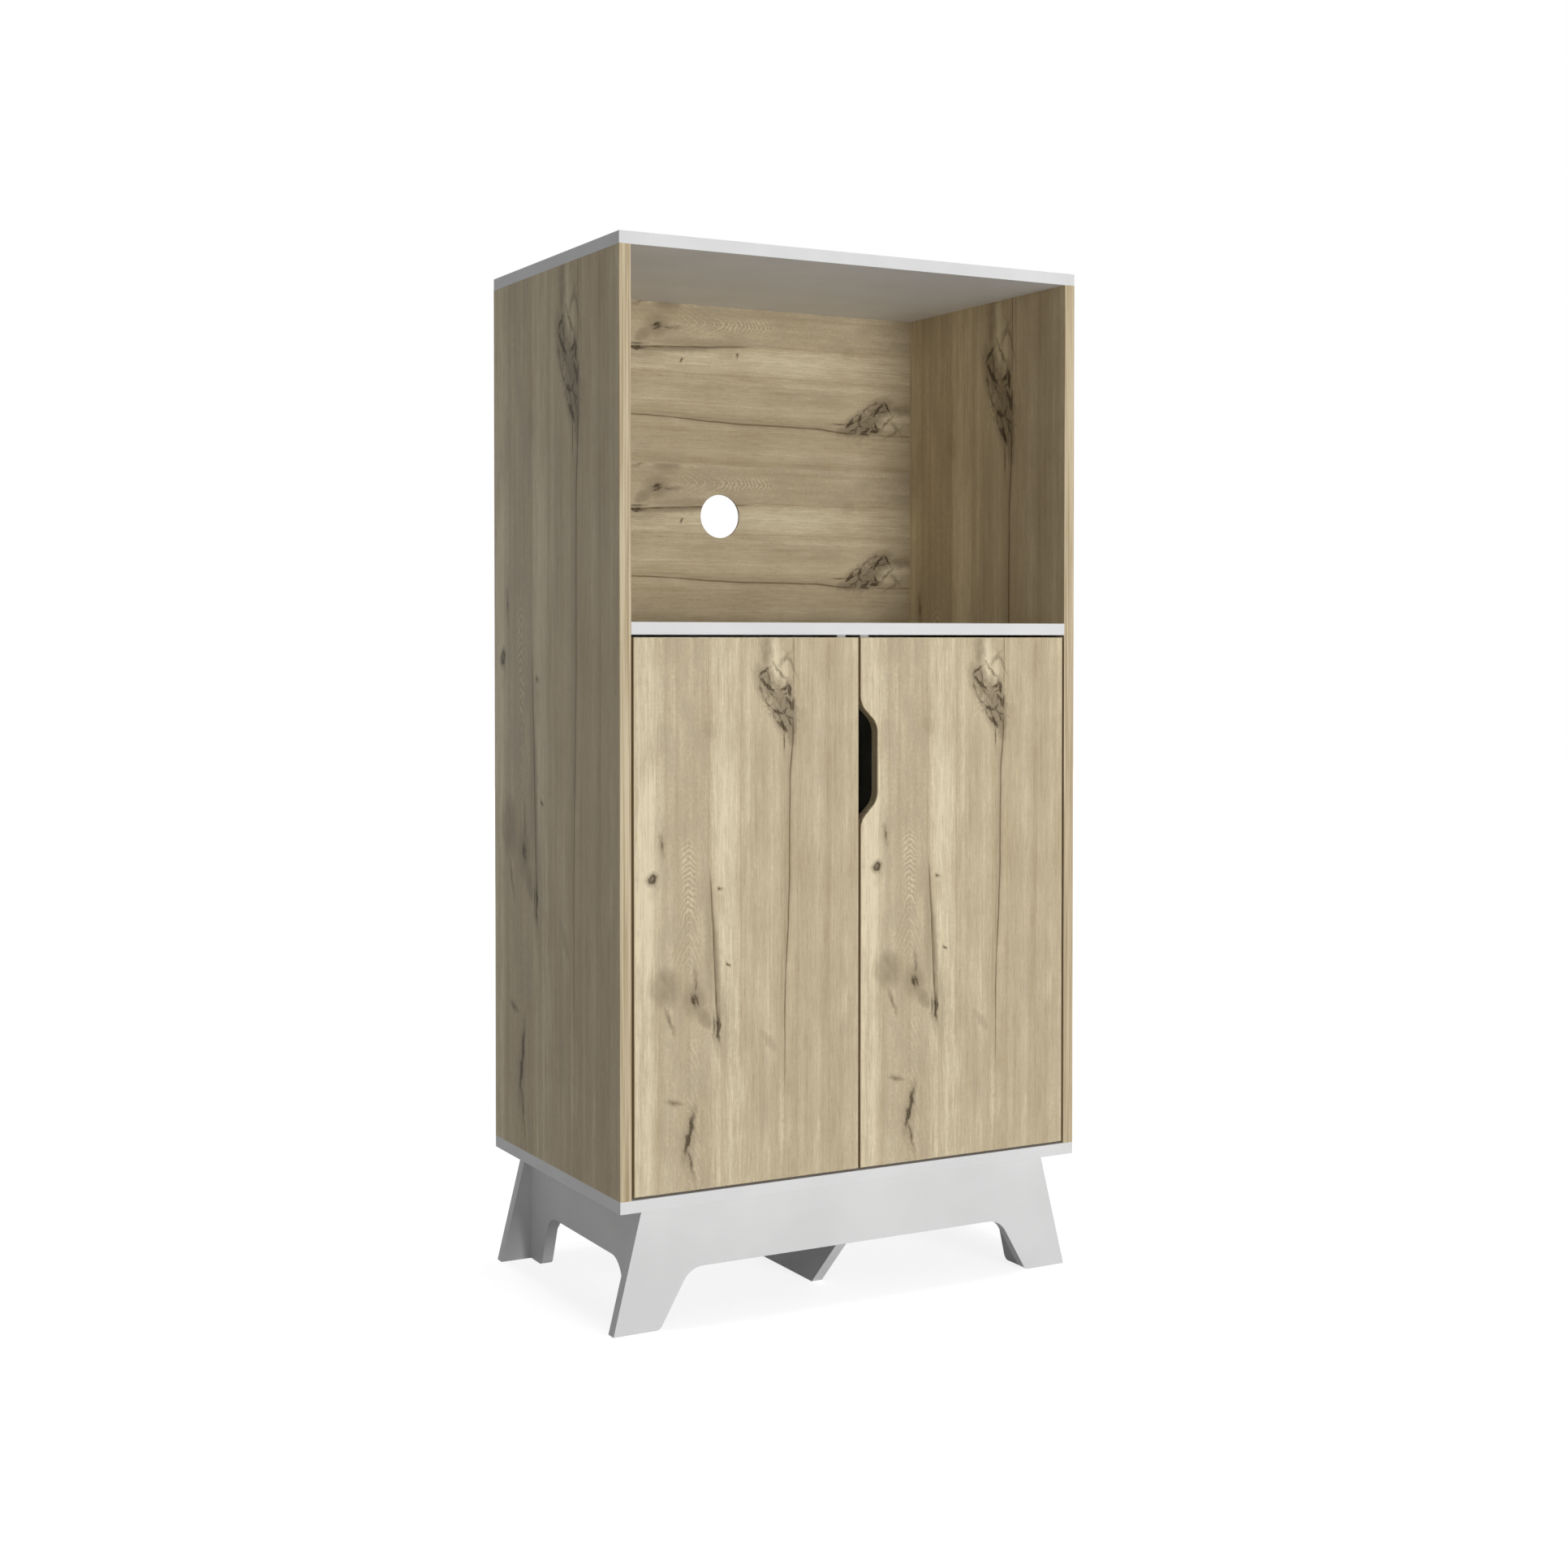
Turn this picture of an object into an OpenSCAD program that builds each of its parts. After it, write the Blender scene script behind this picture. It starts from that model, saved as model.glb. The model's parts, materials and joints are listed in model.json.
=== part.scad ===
// Tall microwave cabinet: a niche above a two-door compartment, on a raised base with cut-out sides.
// Frame: origin on the floor below the middle, +X to the right, +Y to the back, +Z up. Millimetres and degrees.

/* [Cabinet] */
// Width over the side panels
cabinet_width = 650; // [520:10:900]
// Depth from the front edges to the rear edges
cabinet_depth = 400; // [330:10:520]
// Height from the floor to the top
cabinet_height = 1300; // [1150:10:1700]
// Thickness of the boards
board = 15; // [15:1:19]
// Thickness of the edge bands
edge_band = 1; // [0.6:0.2:2]

/* [Niche] */
// Clear height of the niche
niche_height = 440; // [330:10:560]
// Thickness of the back panels
back_thickness = 3; // [2.5:0.5:5]
// Distance from the back panels' front faces to the rear edges
back_inset = 20; // [12:1:30]
// Depth of the grooves that hold the back panels
groove_depth = 6; // [4:0.5:8]
// Diameter of the cable hole
cable_hole = 60; // [30:1:80]
// Height of the cable hole's centre above the niche floor
cable_hole_rise = 150; // [60:5:200]

/* [Doors] */
// Gap around and between the doors
door_gap = 3; // [2:0.5:4]
// Height of the finger cut-out's centre above the bottom panel's top
grip_rise = 507; // [200:1:560]
// Length of the finger cut-out between its sharp outer corners
grip_length = 144; // [110:1:200]
// Depth of the finger cut-out
grip_depth = 24.5; // [18:0.5:40]
// Radius of the finger cut-out's curves
grip_radius = 27; // [8:1:32]

/* [Inner shelf] */
// Height of the adjustable shelf's underside above the bottom panel's top
inner_shelf_rise = 320; // [160:32:480]
// Distance from the front edges to the adjustable shelf
inner_shelf_setback = 45; // [35:5:90]

/* [Base] */
// Height of the base
base_height = 150; // [120:5:200]
// Distance from the front edges to the base's front board
base_front_setback = 20; // [5:1:40]
// Distance from the rear edges to the base's rear board
base_rear_setback = 5; // [0:1:40]
// Width of the board above the base's cut-outs
apron = 80; // [60:1:100]
// How far the outer edges of the feet slope in over the base's height
foot_splay = 37.5; // [10:0.5:60]
// Width of a front foot at the floor
foot_width = 60.7; // [40:0.1:90]
// Lean of the front feet's inner edges from the vertical
foot_lean = 30; // [10:1:40]
// Width of a side board's foot at the floor
side_foot_width = 37; // [25:1:60]
// Lean of the side feet's inner edges from the vertical
side_foot_lean = 20; // [0:1:35]
// Radius under the apron
arch_radius = 30; // [5:1:40]
// Radius at the feet's inner corners
foot_radius = 10; // [1:1:15]
// Distance from the cabinet's sides to the base's side boards
base_side_inset = 42; // [38:1:80]

/* [Fittings] */
// Diameter of the dowels
dowel_d = 8; // [6:1:8]
// Length of the dowels
dowel_length = 30; // [24:2:36]
// Diameter of the cam locks
cam_d = 15; // [12:0.5:15]
// Distance from a cam lock's axis to the end of its board
cam_reach = 34; // [24:1:34]
// Width of a catch
catch_width = 12; // [10:1:16]
// Distance between the centres of the two catches
catch_spacing = 33; // [26:1:60]
// Distance from a door's end to its nearest hinge
hinge_end = 90; // [70:5:140]
// Diameter of the hinge cups
cup_d = 35; // [26:1:35]
// Distance from a door's edge to its hinge cups
cup_edge = 4; // [3:0.5:6]
// Angle through which the doors open
door_opening = 95; // [60:5:95]

/* [Hidden] */
$fn = 48;

// Finishes
oak = [0.77, 0.70, 0.57];
edge_oak = [0.80, 0.73, 0.60];
white = [0.93, 0.93, 0.92];
plastic = [0.80, 0.80, 0.79];
steel = [0.74, 0.75, 0.77];
zinc = [0.64, 0.64, 0.62];
magnet = [0.22, 0.22, 0.23];
beech = [0.83, 0.69, 0.48];

// Clearances
fit = 0.1;          // round a fitting in its hole, on the radius
play = 0.5;         // at the end of a board in its groove, or of a fitting in its hole
cut = 1;            // how far a cutting shape runs past the face it opens

// Outer planes and inner faces
front = -cabinet_depth / 2;
rear = cabinet_depth / 2;
half_width = cabinet_width / 2;
inner_half = half_width - board;
carcass_bottom = base_height + board;
carcass_top = cabinet_height - board;
shelf_top = carcass_top - niche_height;
shelf_bottom = shelf_top - board;
back_front = rear - back_inset;
back_rear = back_front + back_thickness;

// Fittings along the depth
joint_setback = 60;
dowel_setback = 110;
joint_rows = [front + joint_setback, back_front - joint_setback];
dowel_rows = [front + dowel_setback, back_front - dowel_setback];
dowel_in_face = 10;

// Door leaves, between the sides, the bottom panel and the fixed shelf
door_bottom = carcass_bottom + door_gap;
door_top = shelf_bottom - door_gap;
grip_height = carcass_bottom + grip_rise;
hinge_heights = [door_bottom + hinge_end, door_top - hinge_end];

// ---------------------------------------------------------------- outlines

function direction(v) = v / norm(v);
function flat(point) = [point[0], point[1]];
function radius_at(point) = len(point) > 2 ? point[2] : 0;
function turned(v, angle) = [v[0] * cos(angle) - v[1] * sin(angle), v[0] * sin(angle) + v[1] * cos(angle)];

// Points of the arc of radius r that rounds the corner between two neighbours
function corner_arc(before, corner, after, r, steps) =
    let (to_before = direction(before - corner),
         to_after = direction(after - corner),
         half = acos(to_before * to_after) / 2,
         centre = corner + direction(to_before + to_after) * r / sin(half),
         start = corner + to_before * r / tan(half) - centre,
         sweep = (180 - 2 * half) * sign(cross(corner - before, after - corner)))
    [for (i = [0 : steps]) centre + turned(start, sweep * i / steps)];

// Outline whose corners [x, y, r] are rounded by r; a corner without r stays sharp
function rounded(points, steps = 8) =
    let (n = len(points))
    [for (i = [0 : n - 1])
        let (corner = flat(points[i]), r = radius_at(points[i]))
        each (r > 0
            ? corner_arc(flat(points[(i + n - 1) % n]), corner, flat(points[(i + 1) % n]), r, steps)
            : [corner])];

// ---------------------------------------------------------------- placing

// Turns a shape that stands on the XY plane to point along +X or +Y
module along_x() rotate([0, 90, 0]) children();
module along_y() rotate([-90, 0, 0]) children();

// Board from an outline of [x, z] points, with its front face at y
module upright_board(points, y, thickness) {
    translate([0, y + thickness, 0]) rotate([90, 0, 0]) linear_extrude(thickness) polygon(points);
}

// Board from an outline of [y, z] points, with its left face at x
module lengthwise_board(points, x, thickness) {
    translate([x, 0, 0]) rotate([90, 0, 90]) linear_extrude(thickness) polygon(points);
}

// Block between two corners
module block(low, high) translate(low) cube(high - low);

// Children as they stand on the left, or mirrored to the right
module on_side(side) {
    if (side == "left") children();
    else mirror([1, 0, 0]) children();
}

module on_both_sides() {
    children();
    mirror([1, 0, 0]) children();
}

// ---------------------------------------------------------------- fasteners

// Countersunk wood screw: head flush with z = 0, point downwards
wood_screw_d = 3.5;
wood_head_d = 7;
wood_head_h = 2;
module wood_screw(length) {
    r = wood_screw_d / 2;
    difference() {
        rotate_extrude($fn = 24) polygon([[0, 0], [wood_head_d / 2, 0], [r, -wood_head_h],
                                          [r, -length + 2 * r], [0, -length]]);
        cross_recess(3.6, 0.8, 1.2);
    }
}

module wood_screw_hole(length) {
    r = wood_screw_d / 2 + fit;
    head_r = wood_head_d / 2 + fit;
    rotate_extrude($fn = 24) polygon([[0, cut], [head_r, cut], [head_r, 0], [r, -wood_head_h],
                                      [r, -length - play], [0, -length - play]]);
}

// Cross slot in a face at z = 0
module cross_recess(span, slot, depth) {
    for (angle = [0, 90]) rotate(angle) translate([-span / 2, -slot / 2, -depth]) cube([span, slot, depth + cut]);
}

// Long carcass screw: head at z = 0, point downwards; grow widens it into its stepped hole
carcass_screw_length = 48;
carcass_head_d = 10;
module carcass_screw_body(grow = 0) {
    head = carcass_head_d / 2 + grow;
    shank = 3.5 + grow;
    thread = 2.7 + grow;
    top = grow > 0 ? cut : 0;
    rotate_extrude($fn = 32) polygon([[0, top], [head, top], [head, -1], [shank, -1 - head + shank],
        [shank, -board], [thread, -board - 1], [thread, -carcass_screw_length + 3],
        [0, -carcass_screw_length - (grow > 0 ? play : 0)]]);
}

// Dowel standing on z = 0
module dowel(grow = 0, extra = 0) translate([0, 0, -extra]) cylinder(r = dowel_d / 2 + grow, h = dowel_length + 2 * extra);

// Cam fitting. The bolt runs along +X: screwed into a face at x = 0, its head in the middle of the lock.
bolt_thread_d = 5;
bolt_thread_length = 10;
bolt_neck_d = 4;
bolt_head_d = 6.6;
bolt_bore_d = 7.4;
cam_height = board - 3;
module cam_bolt() {
    end = cam_reach + 1.6;
    along_x() rotate_extrude($fn = 32) polygon([
        [0, -bolt_thread_length], [bolt_thread_d / 2, -bolt_thread_length], [bolt_thread_d / 2, 0],
        [bolt_head_d / 2, 0], [bolt_head_d / 2, 1.2], [bolt_neck_d / 2, 1.2], [bolt_neck_d / 2, end - 3],
        [bolt_head_d / 2, end - 3], [bolt_head_d / 2, end - 1], [bolt_head_d / 2 - 1, end], [0, end]]);
}

// Holes of a cam fitting: the thread's in the face board, the bolt's and the lock's in the end board
module cam_bolt_thread_hole() {
    along_x() translate([0, 0, -bolt_thread_length - play])
        cylinder(d = bolt_thread_d + 2 * fit, h = bolt_thread_length + play + cut);
}

module cam_bolt_bore() {
    along_x() translate([0, 0, -cut]) cylinder(d = bolt_bore_d, h = cam_reach + cut);
}

// Lock with its face at z = 0, sunk upwards; the bolt comes in along +X through its middle height
module cam_lock(mid) {
    difference() {
        cylinder(d = cam_d, h = cam_height);
        translate([-cam_d, 0, mid]) along_x() cylinder(d = bolt_bore_d, h = cam_d + 4);
        mirror([0, 0, 1]) cross_recess(8, 1.4, 2.5);
    }
}

module cam_lock_bore() translate([0, 0, -cut]) cylinder(d = cam_d + 2 * fit, h = cam_height + cut + fit);

// ---------------------------------------------------------------- carcass

// Places of the carcass screws at the left: on the side panel's middle line
module at_carcass_screws() {
    for (y = joint_rows) translate([-half_width + board / 2, y, 0]) children();
}

module at_carcass_dowels() {
    for (y = dowel_rows) translate([-half_width + board / 2, y, 0]) children();
}

cap_d = 13;
cap_h = 1;
module top_screw_places() translate([0, 0, cabinet_height - cap_h]) at_carcass_screws() children();
module bottom_screw_places() translate([0, 0, base_height]) at_carcass_screws() mirror([0, 0, 1]) children();

module top_dowel_places() {
    translate([0, 0, carcass_top + dowel_in_face - dowel_length]) at_carcass_dowels() children();
}

module bottom_dowel_places() {
    translate([0, 0, carcass_bottom - dowel_in_face]) at_carcass_dowels() children();
}

// Fixed shelf's fittings at the left, running into the side panel's inner face
module shelf_cam_places() {
    for (y = joint_rows) translate([-inner_half, y, shelf_bottom + board / 2]) children();
}

module shelf_dowel_places() {
    for (y = dowel_rows) translate([-inner_half - dowel_in_face, y, shelf_bottom + board / 2]) children();
}

// Groove for the back panels along X, Y or Z is a plain block
module back_groove(low_x, low_z, high_x, high_z) {
    block([low_x, back_front - fit, low_z], [high_x, back_rear + fit, high_z]);
}

// Row of holes for the pins of the adjustable shelf
pin_d = 5;
pin_depth = 9;
pin_flange_d = 8;
pin_pitch = 32;
pin_rows_setback = 37;
inner_shelf_bottom = carcass_bottom + inner_shelf_rise;
module pin_rows() {
    for (y = [front + inner_shelf_setback + pin_rows_setback, back_front - pin_rows_setback - 20]) {
        translate([0, y, 0]) children();
    }
}

pin_z = inner_shelf_bottom - pin_d / 2;
module pin_hole() {
    along_x() translate([0, 0, -pin_depth]) cylinder(d = pin_d + 2 * fit, h = pin_depth + cut, $fn = 24);
}

module side_panel() {
    color(oak) difference() {
        block([-half_width, front + edge_band, carcass_bottom], [-inner_half, rear, carcass_top]);
        back_groove(-inner_half - groove_depth, carcass_bottom - cut, -inner_half + cut, carcass_top + cut);
        top_screw_places() carcass_screw_body(fit);
        bottom_screw_places() carcass_screw_body(fit);
        top_dowel_places() dowel(fit, play);
        bottom_dowel_places() dowel(fit, play);
        shelf_cam_places() cam_bolt_thread_hole();
        shelf_dowel_places() along_x() dowel(fit, play);
        pin_rows() for (step = [-2 : 2]) translate([-inner_half, 0, pin_z + step * pin_pitch]) pin_hole();
        at_hinges() plate_screw_places() along_x() wood_screw_hole(plate_screw_length);
    }
}

module side_left() side_panel();
module side_right() mirror([1, 0, 0]) side_panel();

module side_edging() {
    color(edge_oak) on_both_sides()
        block([-half_width, front, carcass_bottom], [-inner_half, front + edge_band, carcass_top]);
}

module top_panel() {
    color(white) difference() {
        block([-half_width, front + edge_band, carcass_top], [half_width, rear, cabinet_height]);
        back_groove(-inner_half - groove_depth, carcass_top - cut, inner_half + groove_depth,
                    carcass_top + groove_depth);
        on_both_sides() {
            top_screw_places() carcass_screw_body(fit);
            top_screw_places() cylinder(d = cap_d + 2 * fit, h = cap_h + cut);
            top_dowel_places() dowel(fit, play);
        }
    }
}

module bottom_panel() {
    color(white) difference() {
        block([-half_width, front + edge_band, base_height], [half_width, rear, carcass_bottom]);
        back_groove(-inner_half - groove_depth, carcass_bottom - groove_depth, inner_half + groove_depth,
                    carcass_bottom + cut);
        on_both_sides() {
            bottom_screw_places() carcass_screw_body(fit);
            bottom_dowel_places() dowel(fit, play);
        }
        bracket_places() bracket_panel_screw_place() mirror([0, 0, 1]) wood_screw_hole(bracket_screw_length);
    }
}

module fixed_shelf() {
    color(white) difference() {
        block([-inner_half, front + edge_band, shelf_bottom], [inner_half, back_front, shelf_top]);
        on_both_sides() {
            shelf_cam_places() cam_bolt_bore();
            shelf_cam_places() translate([cam_reach, 0, -board / 2]) cam_lock_bore();
            shelf_dowel_places() along_x() dowel(fit, play);
            catch_place() catch_screw_place() mirror([0, 0, 1]) wood_screw_hole(catch_screw_length);
        }
        back_screw_places() back_screw_hole();
    }
}

module panel_edging() {
    color(white) {
        block([-half_width, front, carcass_top], [half_width, front + edge_band, cabinet_height]);
        block([-half_width, front, base_height], [half_width, front + edge_band, carcass_bottom]);
        block([-inner_half, front, shelf_bottom], [inner_half, front + edge_band, shelf_top]);
    }
}

module shelf_cam_locks() {
    color(zinc) on_both_sides() shelf_cam_places() translate([cam_reach, 0, -board / 2]) cam_lock(board / 2);
}

module shelf_cam_bolts() color(steel) on_both_sides() shelf_cam_places() cam_bolt();

module carcass_dowels() {
    color(beech) on_both_sides() {
        top_dowel_places() dowel();
        bottom_dowel_places() dowel();
        shelf_dowel_places() along_x() dowel();
    }
}

module carcass_screws() {
    color(steel) on_both_sides() {
        top_screw_places() carcass_screw();
        bottom_screw_places() carcass_screw();
    }
}

hex_socket = 4;
module carcass_screw() {
    difference() {
        carcass_screw_body();
        translate([0, 0, -3]) cylinder(d = hex_socket, h = 3 + cut, $fn = 6);
    }
}

module screw_caps() {
    color(white) on_both_sides() top_screw_places() {
        cylinder(d = cap_d, h = cap_h);
        translate([0, 0, -2]) cylinder(d = hex_socket - 1, h = 2);
    }
}

// ---------------------------------------------------------------- back panels

panel_joint = shelf_bottom + board / 2;
back_half = inner_half + groove_depth - play;
module back_panel(low_z, high_z) {
    block([-back_half, back_front, low_z], [back_half, back_rear, high_z]);
}

module niche_back() {
    color(oak) difference() {
        back_panel(panel_joint + play / 2, carcass_top + groove_depth - play);
        translate([0, back_front - cut, shelf_top + cable_hole_rise])
            along_y() cylinder(d = cable_hole, h = back_thickness + 2 * cut, $fn = 96);
        back_screw_places() back_screw_hole();
    }
}

module lower_back() {
    color(white) difference() {
        back_panel(carcass_bottom - groove_depth + play, panel_joint - play / 2);
        back_screw_places() back_screw_hole();
    }
}

// Round-headed screws through both back panels into the fixed shelf's rear edge
back_screw_length = 18;
back_screw_d = 3;
back_head_d = 6;
back_head_h = 1.6;
module back_screw_places() {
    for (x = [-1, 0, 1] * (inner_half - 80), z = [-1, 1] * board / 4)
        translate([x, back_rear, panel_joint + z]) children();
}

module back_screw_hole() {
    translate([0, -back_screw_length - play, 0]) along_y()
        cylinder(d = back_screw_d + 2 * fit, h = back_screw_length + play + cut, $fn = 24);
}

module back_screws() {
    color(steel) back_screw_places() {
        along_y() rotate_extrude($fn = 24) polygon([[0, -back_screw_length],
            [back_screw_d / 2, -back_screw_length + 2], [back_screw_d / 2, 0], [back_head_d / 2, 0],
            [back_head_d / 2, back_head_h / 2], [back_head_d / 3, back_head_h], [0, back_head_h]]);
    }
}

// ---------------------------------------------------------------- adjustable shelf

inner_shelf_play = 1;
module inner_shelf() {
    color(white) block([-inner_half + inner_shelf_play, front + inner_shelf_setback, inner_shelf_bottom],
                       [inner_half - inner_shelf_play, back_front - 2, inner_shelf_bottom + board]);
}

pin_reach = 7;
module shelf_pins() {
    color(steel) on_both_sides() pin_rows() translate([-inner_half, 0, pin_z]) along_x() {
        translate([0, 0, -pin_depth + play]) cylinder(d = pin_d, h = pin_depth - play + pin_reach, $fn = 24);
    }
}

// ---------------------------------------------------------------- base

base_front_y = front + base_front_setback;
base_rear_y = rear - base_rear_setback - board;
base_inner_front = base_front_y + board;
base_inner_rear = base_rear_y;
apron_bottom = base_height - apron;
base_side_x = -half_width + base_side_inset;

foot_lean_run = apron_bottom * tan(foot_lean);
base_cross_outline = rounded([
    [-half_width, 0],
    [-half_width + foot_width, 0, foot_radius],
    [-half_width + foot_width + foot_lean_run, apron_bottom, arch_radius],
    [half_width - foot_width - foot_lean_run, apron_bottom, arch_radius],
    [half_width - foot_width, 0, foot_radius],
    [half_width, 0],
    [half_width - foot_splay, base_height],
    [-half_width + foot_splay, base_height]]);

side_lean_run = apron_bottom * tan(side_foot_lean);
base_side_outline = rounded([
    [base_inner_front, 0],
    [base_inner_front + side_foot_width, 0, foot_radius],
    [base_inner_front + side_foot_width + side_lean_run, apron_bottom, arch_radius],
    [base_inner_rear - side_foot_width - side_lean_run, apron_bottom, arch_radius],
    [base_inner_rear - side_foot_width, 0, foot_radius],
    [base_inner_rear, 0],
    [base_inner_rear, base_height],
    [base_inner_front, base_height]]);

// The centre board stands on the floor; its ends are cut off at 45 degrees up to the apron
end_cut = apron_bottom + 2;
base_centre_outline = [
    [base_inner_front, end_cut],
    [base_inner_front + end_cut, 0],
    [base_inner_rear - end_cut, 0],
    [base_inner_rear, end_cut],
    [base_inner_rear, base_height],
    [base_inner_front, base_height]];

// Heights of the base's fittings and middle planes of its lengthwise boards
base_cam_z = base_height - 35;
base_dowel_z = base_height - 60;
base_side_mid = base_side_x + board / 2;

// Children run along +X from a cross board into a lengthwise board's end, at both ends of that board
module at_board_ends(x, z) {
    translate([x, base_inner_front, z]) rotate([0, 0, 90]) children();
    translate([x, base_inner_rear, z]) mirror([0, 1, 0]) rotate([0, 0, 90]) children();
}

// Lock face towards +X for the lengthwise board whose middle plane is at x
module at_base_locks(x) {
    at_board_ends(x, base_cam_z) translate([cam_reach, -board / 2, 0]) rotate([-90, 0, 0]) children();
}

module base_board_holes(x) {
    at_board_ends(x, base_cam_z) cam_bolt_bore();
    at_base_locks(x) cam_lock_bore();
    at_board_ends(x, base_dowel_z) translate([-dowel_in_face, 0, 0]) along_x() dowel(fit, play);
}

module cross_board_holes(x) {
    at_board_ends(x, base_cam_z) cam_bolt_thread_hole();
    at_board_ends(x, base_dowel_z) translate([-dowel_in_face, 0, 0]) along_x() dowel(fit, play);
}

module base_cross(y) {
    color(white) difference() {
        upright_board(base_cross_outline, y, board);
        on_both_sides() cross_board_holes(base_side_mid);
        cross_board_holes(0);
        bracket_places() bracket_board_screw_place() wood_screw_hole(bracket_screw_length);
    }
}

module base_front() base_cross(base_front_y);
module base_rear() base_cross(base_rear_y);

module base_side() {
    color(white) difference() {
        lengthwise_board(base_side_outline, base_side_x, board);
        base_board_holes(base_side_mid);
        bracket_places() bracket_board_screw_place() wood_screw_hole(bracket_screw_length);
    }
}

module base_side_left() base_side();
module base_side_right() mirror([1, 0, 0]) base_side();

module base_centre() {
    color(white) difference() {
        lengthwise_board(base_centre_outline, -board / 2, board);
        base_board_holes(0);
    }
}

module base_cam_locks() {
    color(zinc) {
        on_both_sides() at_base_locks(base_side_mid) cam_lock(board / 2);
        at_base_locks(0) cam_lock(board / 2);
    }
}

module base_cam_bolts() {
    color(steel) {
        on_both_sides() at_board_ends(base_side_mid, base_cam_z) cam_bolt();
        at_board_ends(0, base_cam_z) cam_bolt();
    }
}

module base_dowels() {
    color(beech) {
        on_both_sides() at_board_ends(base_side_mid, base_dowel_z) base_dowel();
        at_board_ends(0, base_dowel_z) base_dowel();
    }
}

module base_dowel() translate([-dowel_in_face, 0, 0]) along_x() dowel();

// Angle brackets under the bottom panel: one leg on the panel (z = 0), one on a base board (y = 0)
bracket_leg = 30;
bracket_width = 20;
bracket_t = 2;
bracket_screw_length = 13;
module bracket_places() {
    for (side = [0, 1]) mirror([side, 0, 0]) {
        translate([-inner_half / 2, base_inner_front, base_height]) children();
        translate([-inner_half / 2, base_inner_rear, base_height]) mirror([0, 1, 0]) children();
        translate([base_side_x + board, 0, base_height]) rotate([0, 0, -90]) children();
    }
}

module bracket_panel_screw_place() translate([0, bracket_leg * 0.6, -bracket_t]) children();
module bracket_board_screw_place() {
    translate([0, bracket_t, -bracket_leg * 0.6]) rotate([-90, 0, 0]) children();
}

module base_brackets() {
    color(steel) bracket_places() difference() {
        union() {
            block([-bracket_width / 2, 0, -bracket_t], [bracket_width / 2, bracket_leg, 0]);
            block([-bracket_width / 2, 0, -bracket_leg], [bracket_width / 2, bracket_t, 0]);
        }
        bracket_panel_screw_place() mirror([0, 0, 1]) wood_screw_hole(bracket_screw_length);
        bracket_board_screw_place() wood_screw_hole(bracket_screw_length);
    }
}

module bracket_screws() {
    color(steel) bracket_places() {
        bracket_panel_screw_place() mirror([0, 0, 1]) wood_screw(bracket_screw_length);
        bracket_board_screw_place() wood_screw(bracket_screw_length);
    }
}

// ---------------------------------------------------------------- catches

catch_front = front + board + 1.6;
catch_length = 38;
catch_height = 13;
catch_screw_length = 14;
catch_foot_h = 3;
catch_head_length = 20;
magnet_w = 7;
magnet_h = 8;
strike_t = 1.2;

module catch_place() translate([-catch_spacing / 2, catch_front, shelf_bottom]) children();
module catch_screw_place() translate([0, catch_length - 8, -catch_foot_h]) children();

// Head that holds the magnet, and a lower foot with the screw behind it
module catch_housings() {
    color(plastic) on_both_sides() catch_place() difference() {
        lengthwise_board(rounded([
            [0, 0], [0, -catch_height, 2], [catch_head_length, -catch_height, 4],
            [catch_head_length + 6, -catch_foot_h, 2], [catch_length, -catch_foot_h, 1], [catch_length, 0]], 4),
            -catch_width / 2, catch_width);
        translate([0, 0, -catch_height / 2 - 0.5])
            block([-magnet_w / 2 - fit, -cut, -magnet_h / 2 - fit],
                  [magnet_w / 2 + fit, 10 + fit, magnet_h / 2 + fit]);
        catch_screw_place() mirror([0, 0, 1]) wood_screw_hole(catch_screw_length);
    }
}

module catch_magnets() {
    color(magnet) on_both_sides() catch_place() translate([0, 0, -catch_height / 2 - 0.5])
        block([-magnet_w / 2, -0.2, -magnet_h / 2], [magnet_w / 2, 10, magnet_h / 2]);
}

module catch_screws() {
    color(steel) on_both_sides() catch_place() catch_screw_place() mirror([0, 0, 1])
        wood_screw(catch_screw_length);
}

// ---------------------------------------------------------------- hinges

// Single-pivot cup hinge, in its own frame at the left: x from the side panel's inner face, y from the
// cabinet's front edges, z from the hinge's middle.
cup_depth = 12;
cup_bottom = board - cup_depth;
cup_wall = 0.8;
cup_rim = 1;
cup_flange_t = 1;
cup_inner_r = cup_d / 2 - cup_wall;
cup_x = door_gap + cup_edge + cup_d / 2;
cup_screw_x = cup_x + 9.5;
cup_screw_z = 22.5;
cup_screw_length = 12;
cup_wing_w = 13;

pin_r = 1.75;
pin_running = 0.05;
pin_head_room = 0.4;
eye_r = 3.3;
arm_half = 5;
ear_gap = 0.3;
ear_t = 1.4;
arm_clear = 0.5;

// The pivot stands so far from the door's outer edge that the door's corners swing past the side panel,
// and that the arm's eye clears the cup's wall
pivot_y = cup_bottom + 4.5;
pivot_behind = board - pivot_y;
corner_clearance = 0.6;
corner_room = door_gap - corner_clearance;
corner_depth = max(pivot_y, pivot_behind);
swing_edge = (pow(corner_depth, 2) - pow(corner_room, 2)) / (2 * corner_room);
seat_edge = cup_edge + cup_d / 2 - sqrt(pow(cup_inner_r, 2) - pow(arm_half, 2)) + eye_r + arm_clear;
pivot_edge = ceil(2 * max(swing_edge, seat_edge)) / 2;
pivot_x = door_gap + pivot_edge;
corner_swing = norm([pivot_edge, corner_depth]);

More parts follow.
